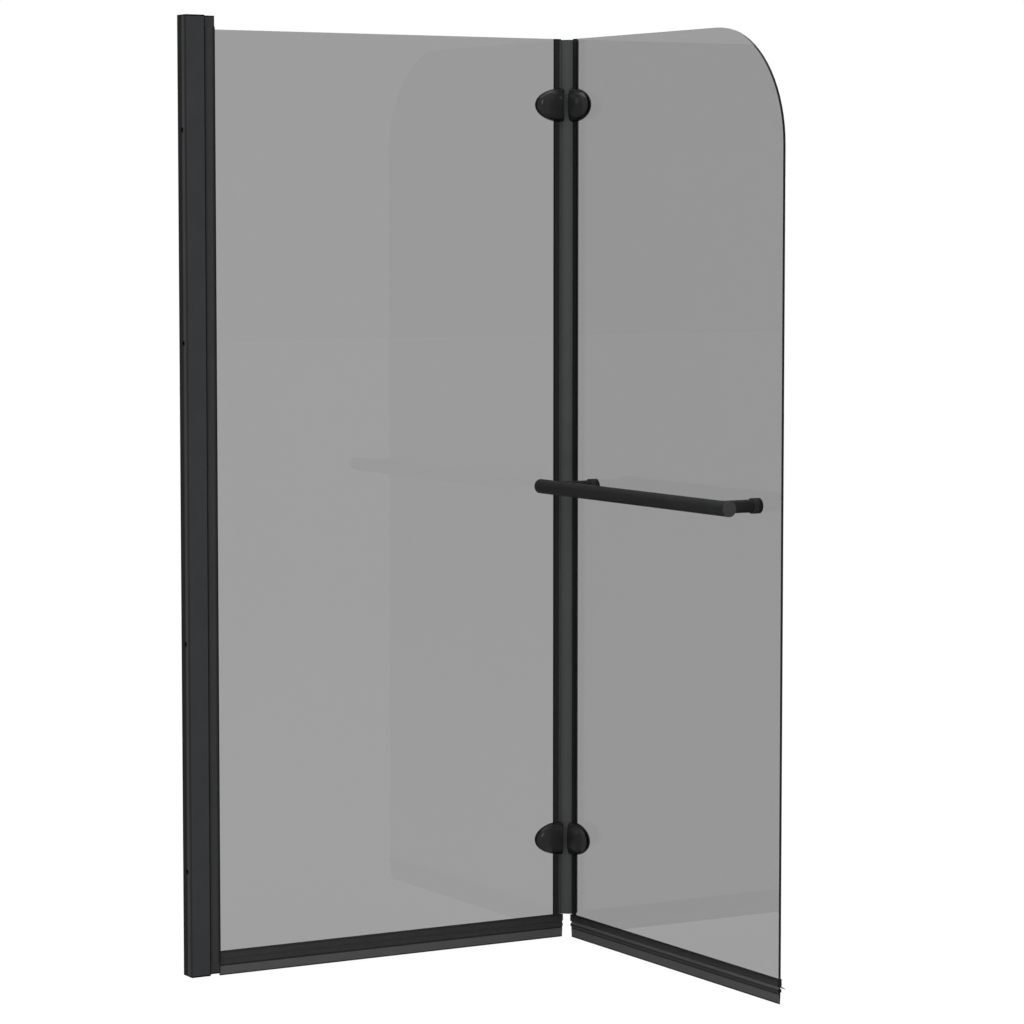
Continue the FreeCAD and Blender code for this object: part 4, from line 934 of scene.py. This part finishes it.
@dataclass
class FoldHinge:
    """An oval hinge: two half caps on each face over leaves, plates, pads and screws."""

    finishes: Finishes
    place: str
    height: float
    glass_half: float = 2 * MM
    centre: float = 12 * MM
    reach: float = 47.5 * MM
    half_height: float = 25.75 * MM
    rise: float = 14 * MM
    wall: float = 1.8 * MM
    mitre: float = 5.7 * MM
    inner_end: float = 14.7 * MM
    edge_softness: float = 0.35 * MM
    search_gap: float = 0.05 * MM
    halvings: int = 40
    mitre_rows: int = 14
    dome_rows: int = 56
    columns: int = 72
    sharp_angle: float = 50.0

    def build(self) -> None:
        """Dress the hinge's metal and make its four half caps."""
        self.finishes.dress(self.place + "_hinge_pin", STAINLESS)
        sides = ((WALL_PANEL, Body.WALL_PANEL, "wall"),
                 (FOLDING_PANEL, Body.FOLDING_PANEL, "folding"))
        for panel, body, title in sides:
            stem = "%s_hinge_%s_" % (self.place, title)
            self.finishes.dress(stem + "leaf", CAST_METAL)
            self.finishes.dress(stem + "clamp_plate", CAST_METAL)
            for face, side in (("room", 1.0), ("bath", -1.0)):
                self.make_cap(panel, body, stem + face + "_cap", side)

    def dome(self, along: np.ndarray, column: np.ndarray) -> tuple[np.ndarray, np.ndarray]:
        """Return the oval dome's half height and its rise at a length along the panel."""
        fade = np.sqrt(np.clip(1 - ((along - self.centre) / self.reach) ** 2, 0.0, None))
        return self.half_height * fade, self.rise * fade * np.cos(column * np.pi / 2)

    def crest(self, column: np.ndarray) -> np.ndarray:
        """Find where the mitre meets the dome in each column, by halving the interval."""
        low = np.full_like(column, self.inner_end + self.search_gap)
        high = np.full_like(column, self.centre + self.reach)
        for _ in range(self.halvings):
            middle = (low + high) / 2
            inside = middle - self.mitre - self.glass_half < self.dome(middle, column)[1]
            low, high = np.where(inside, middle, low), np.where(inside, high, middle)
        return low

    def outer_skin(self) -> tuple[np.ndarray, np.ndarray, np.ndarray]:
        """Work out a half cap's outer skin.

        Columns go from one rim to the other and rows from the mitred end over the crest, where
        they crowd together, to the tip. Along the panel a point is at x, up at
        z = Z * sqrt(1 - e) * sin(t * pi / 2) with e = ((x - c) / R)^2, and it rises above the
        glass by H * sqrt(1 - e) * cos(t * pi / 2), which is the oval dome. The mitre is the
        plane that rises as fast as x grows, and the lower of the two counts, with the corner
        between them rounded by a smooth minimum.

        Returns:
            Lengths along the panel, heights from the hinge's middle and rises from the glass.
        """
        column = np.linspace(-1.0, 1.0, self.columns)[None, :]
        crest = self.crest(column)
        slope = 1 - (1 - np.linspace(0.0, 1.0, self.mitre_rows, endpoint=False)[:, None]) ** 2
        sweep = (1 - np.cos(np.linspace(0.0, np.pi, self.dome_rows)[:, None])) / 2
        tip = self.centre + self.reach
        along = np.concatenate([self.inner_end + (crest - self.inner_end) * slope,
                                crest + (tip - crest) * sweep])
        half, dome = self.dome(along, column)
        plane = along - self.mitre - self.glass_half
        gap = np.clip(0.5 + 0.5 * (plane - dome) / self.edge_softness, 0.0, 1.0)
        rise = plane * (1 - gap) + dome * gap - self.edge_softness * gap * (1 - gap)
        return along, half * np.sin(column * np.pi / 2), np.clip(rise, 0.0, None)

    def make_cap(self, panel: PanelFrame, body: Body, node: str, side: float) -> None:
        """Make one half cap, as an outer and an inner skin joined round the rim.

        Args:
            panel: The panel's own frame.
            body: The body that it rides on.
            node: The node that it stands for.
            side: 1 on the room side and -1 on the bath side.
        """
        along, height, rise = self.outer_skin()
        inward = 1 - self.wall / self.half_height
        inner_along = self.centre + (along - self.centre) * (1 - self.wall / self.reach)
        inner_along = np.maximum(inner_along, self.inner_end)
        inner_rise = np.clip(rise - self.wall, 0.0, None)
        points = []
        for run, up, out in ((along, height, rise), (inner_along, height * inward, inner_rise)):
            points.append(panel.place(run, side * (self.glass_half + out), self.height + up))
        rows = self.mitre_rows + self.dome_rows
        count = rows * self.columns
        grid = grid_faces(rows, self.columns)
        rim = np.concatenate([
            np.arange(rows) * self.columns,
            (rows - 1) * self.columns + np.arange(1, self.columns),
            np.arange(rows - 2, -1, -1) * self.columns + self.columns - 1,
            np.arange(self.columns - 2, 0, -1)])
        beyond = np.roll(rim, -1)
        band = np.stack([rim, beyond, beyond + count, rim + count], axis=-1)
        surface = Surface()
        faces = np.concatenate([grid, grid[:, ::-1] + count, band]).tolist()
        surface.add(np.concatenate([patch.reshape(-1, 3) for patch in points]), faces)
        finish = WALL_CAP if panel is WALL_PANEL else FOLDING_CAP
        surface.build(node + "_shell", body, Slot.GLOSS_PLASTIC, self.finishes.material(finish),
                      (node,), self.sharp_angle)


@dataclass
class FoldHinges:
    """Both hinges with the pads and screws that their halves share."""

    finishes: Finishes
    heights: tuple[tuple[str, float], ...] = (("lower", 151.5 * MM), ("upper", 1280 * MM))

    def build(self) -> None:
        """Build each hinge and dress the shared pads and screws."""
        for place, height in self.heights:
            FoldHinge(self.finishes, place, height).build()
        for panel in ("wall", "folding"):
            self.finishes.dress(panel + "_hinge_pads", GASKET_RUBBER)
            self.finishes.dress(panel + "_hinge_screws", STAINLESS)


@dataclass
class TowelBar:
    """The bar on its two posts, with collars and washers at the glass."""

    finishes: Finishes

    def build(self) -> None:
        """Dress the bar and its fittings."""
        self.finishes.dress("towel_bar", BAR_COAT)
        self.finishes.dress("bar_end_plugs", PLUG_LIT_COAT)
        for place in ("inner", "outer"):
            self.finishes.dress(place + "_bar_post", POST_COAT)
            self.finishes.dress(place + "_post_collar", COLLAR_COAT)
        self.finishes.dress("post_gaskets", GASKET_RUBBER)
        self.finishes.dress("post_screw_cups", BLOCK_PLASTIC)
        for node in ("post_screws", "bar_studs", "bar_rivet_nuts"):
            self.finishes.dress(node, STAINLESS)


@dataclass(frozen=True)
class PhotoCamera:
    """The camera, from a fit to points on the screen in the photograph."""

    place: Point = (-2.2747, -4.84816, 1.111189)
    azimuth: float = 0.52753417
    pitch: float = 0.0800561
    sensor: float = 36.0
    focal_share: float = 3686.35 / 1024
    sight: float = 60.0

    def build(self) -> None:
        """Make the camera and use it for the scene."""
        camera = bpy.data.objects.new("camera", bpy.data.cameras.new("camera"))
        bpy.context.scene.collection.objects.link(camera)
        level = math.cos(self.pitch)
        ahead = Vector((math.sin(self.azimuth) * level, math.cos(self.azimuth) * level,
                        -math.sin(self.pitch)))
        camera.location = self.place
        camera.rotation_mode = "QUATERNION"
        camera.rotation_quaternion = ahead.to_track_quat("-Z", "Y")
        camera.data.sensor_width = self.sensor
        camera.data.lens = self.focal_share * self.sensor
        camera.data.clip_end = self.sight
        bpy.context.scene.camera = camera


@dataclass(frozen=True)
class SoftLamp:
    """A rectangular soft lamp that shines at one point."""

    name: str
    place: Point
    aim: Point
    width: float
    height: float
    power: float

    def build(self) -> None:
        """Make the lamp."""
        light = bpy.data.lights.new(self.name, "AREA")
        light.shape = "RECTANGLE"
        light.size = self.width
        light.size_y = self.height
        light.energy = self.power
        lamp = bpy.data.objects.new(self.name, light)
        bpy.context.scene.collection.objects.link(lamp)
        lamp.location = self.place
        lamp.rotation_mode = "QUATERNION"
        lamp.rotation_quaternion = (Vector(self.aim) - Vector(self.place)).to_track_quat("-Z", "Y")


@dataclass(frozen=True)
class Studio:
    """A plain pale floor, a white surround and soft lamps."""

    floor_height: float = -4.5 * MM
    floor_half: float = 25.0
    floor_colour: Colour = (0.9, 0.9, 0.9)
    floor_own_white: float = 0.94
    floor_glow: float = 1.03
    surround_light: float = 0.80
    lamps: tuple[SoftLamp, ...] = (
        SoftLamp("front_lamp", (-2.6, -6.7, 4.2), (0.45, -0.1, 0.75), 0.45, 4.0, 65.0),
        SoftLamp("side_lamp", (-5.0, 3.4, 3.2), (0.6, -0.1, 0.8), 0.3, 2.2, 18.0),
        SoftLamp("top_lamp", (0.4, 0.6, 4.2), (0.4, -0.1, 0.0), 3.0, 3.0, 62.0),
    )

    def build(self) -> None:
        """Make the surround, the floor and the lamps."""
        self.build_surround()
        self.build_floor()
        for lamp in self.lamps:
            lamp.build()
        bpy.context.scene.view_settings.view_transform = "Standard"

    @staticmethod
    def seen(wiring: Wiring) -> bpy.types.NodeSocket:
        """Return 1 for rays that show a thing: to the camera, in gloss and through glass."""
        rays = wiring.node("LightPath").outputs
        shown = wiring.sum("MAXIMUM", rays["Is Camera Ray"], rays["Is Glossy Ray"])
        return wiring.sum("MAXIMUM", shown, rays["Is Transmission Ray"])

    def build_surround(self) -> None:
        """Make a world that looks white and lights the object softly."""
        world = bpy.data.worlds.new("studio_surround")
        world.use_nodes = True
        wiring = Wiring(world.node_tree)
        white = wiring.node("Background", {"Color": (1.0, 1.0, 1.0), "Strength": 1.0})
        light = wiring.node("Background", {"Color": (1.0, 1.0, 1.0), "Strength": self.surround_light})
        mixed = wiring.node("MixShader", {
            0: self.seen(wiring), 1: light.outputs[0], 2: white.outputs[0]})
        wiring.node("OutputWorld", {"Surface": mixed.outputs[0]})
        bpy.context.scene.world = world

    def build_floor(self) -> None:
        """Make the floor, white to the eye but for a share that keeps the object's shadow."""
        material = bpy.data.materials.new("studio_floor")
        material.use_nodes = True
        wiring = Wiring(material.node_tree)
        matt = wiring.node("BsdfDiffuse", {"Color": self.floor_colour})
        white = wiring.node("Emission", {"Color": (1.0, 1.0, 1.0), "Strength": self.floor_glow})
        share = wiring.sum("MULTIPLY", self.seen(wiring), self.floor_own_white)
        mixed = wiring.node("MixShader", {0: share, 1: matt.outputs[0], 2: white.outputs[0]})
        wiring.node("OutputMaterial", {"Surface": mixed.outputs[0]})
        mesh = bpy.data.meshes.new("studio_floor")
        corners = np.array([(-1, -1), (1, -1), (1, 1), (-1, 1)]) * self.floor_half
        points = np.concatenate([corners, np.full((4, 1), self.floor_height)], axis=1)
        mesh.from_pydata(points.tolist(), [], [(0, 1, 2, 3)])
        mesh.materials.append(material)
        floor = bpy.data.objects.new("studio_floor", mesh)
        bpy.context.scene.collection.objects.link(floor)


def main() -> None:
    """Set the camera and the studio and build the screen."""
    logging.basicConfig(level=logging.INFO, format="%(name)s: %(message)s")
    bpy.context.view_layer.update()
    PhotoCamera().build()
    Studio().build()
    finishes = Finishes()
    for assembly in (WallProfile(finishes), WallPanel(finishes), FoldHinges(finishes),
                     FoldingPanel(finishes), TowelBar(finishes)):
        LOG.info("building %s", type(assembly).__name__)
        assembly.build()


if __name__ == "__main__":
    main()
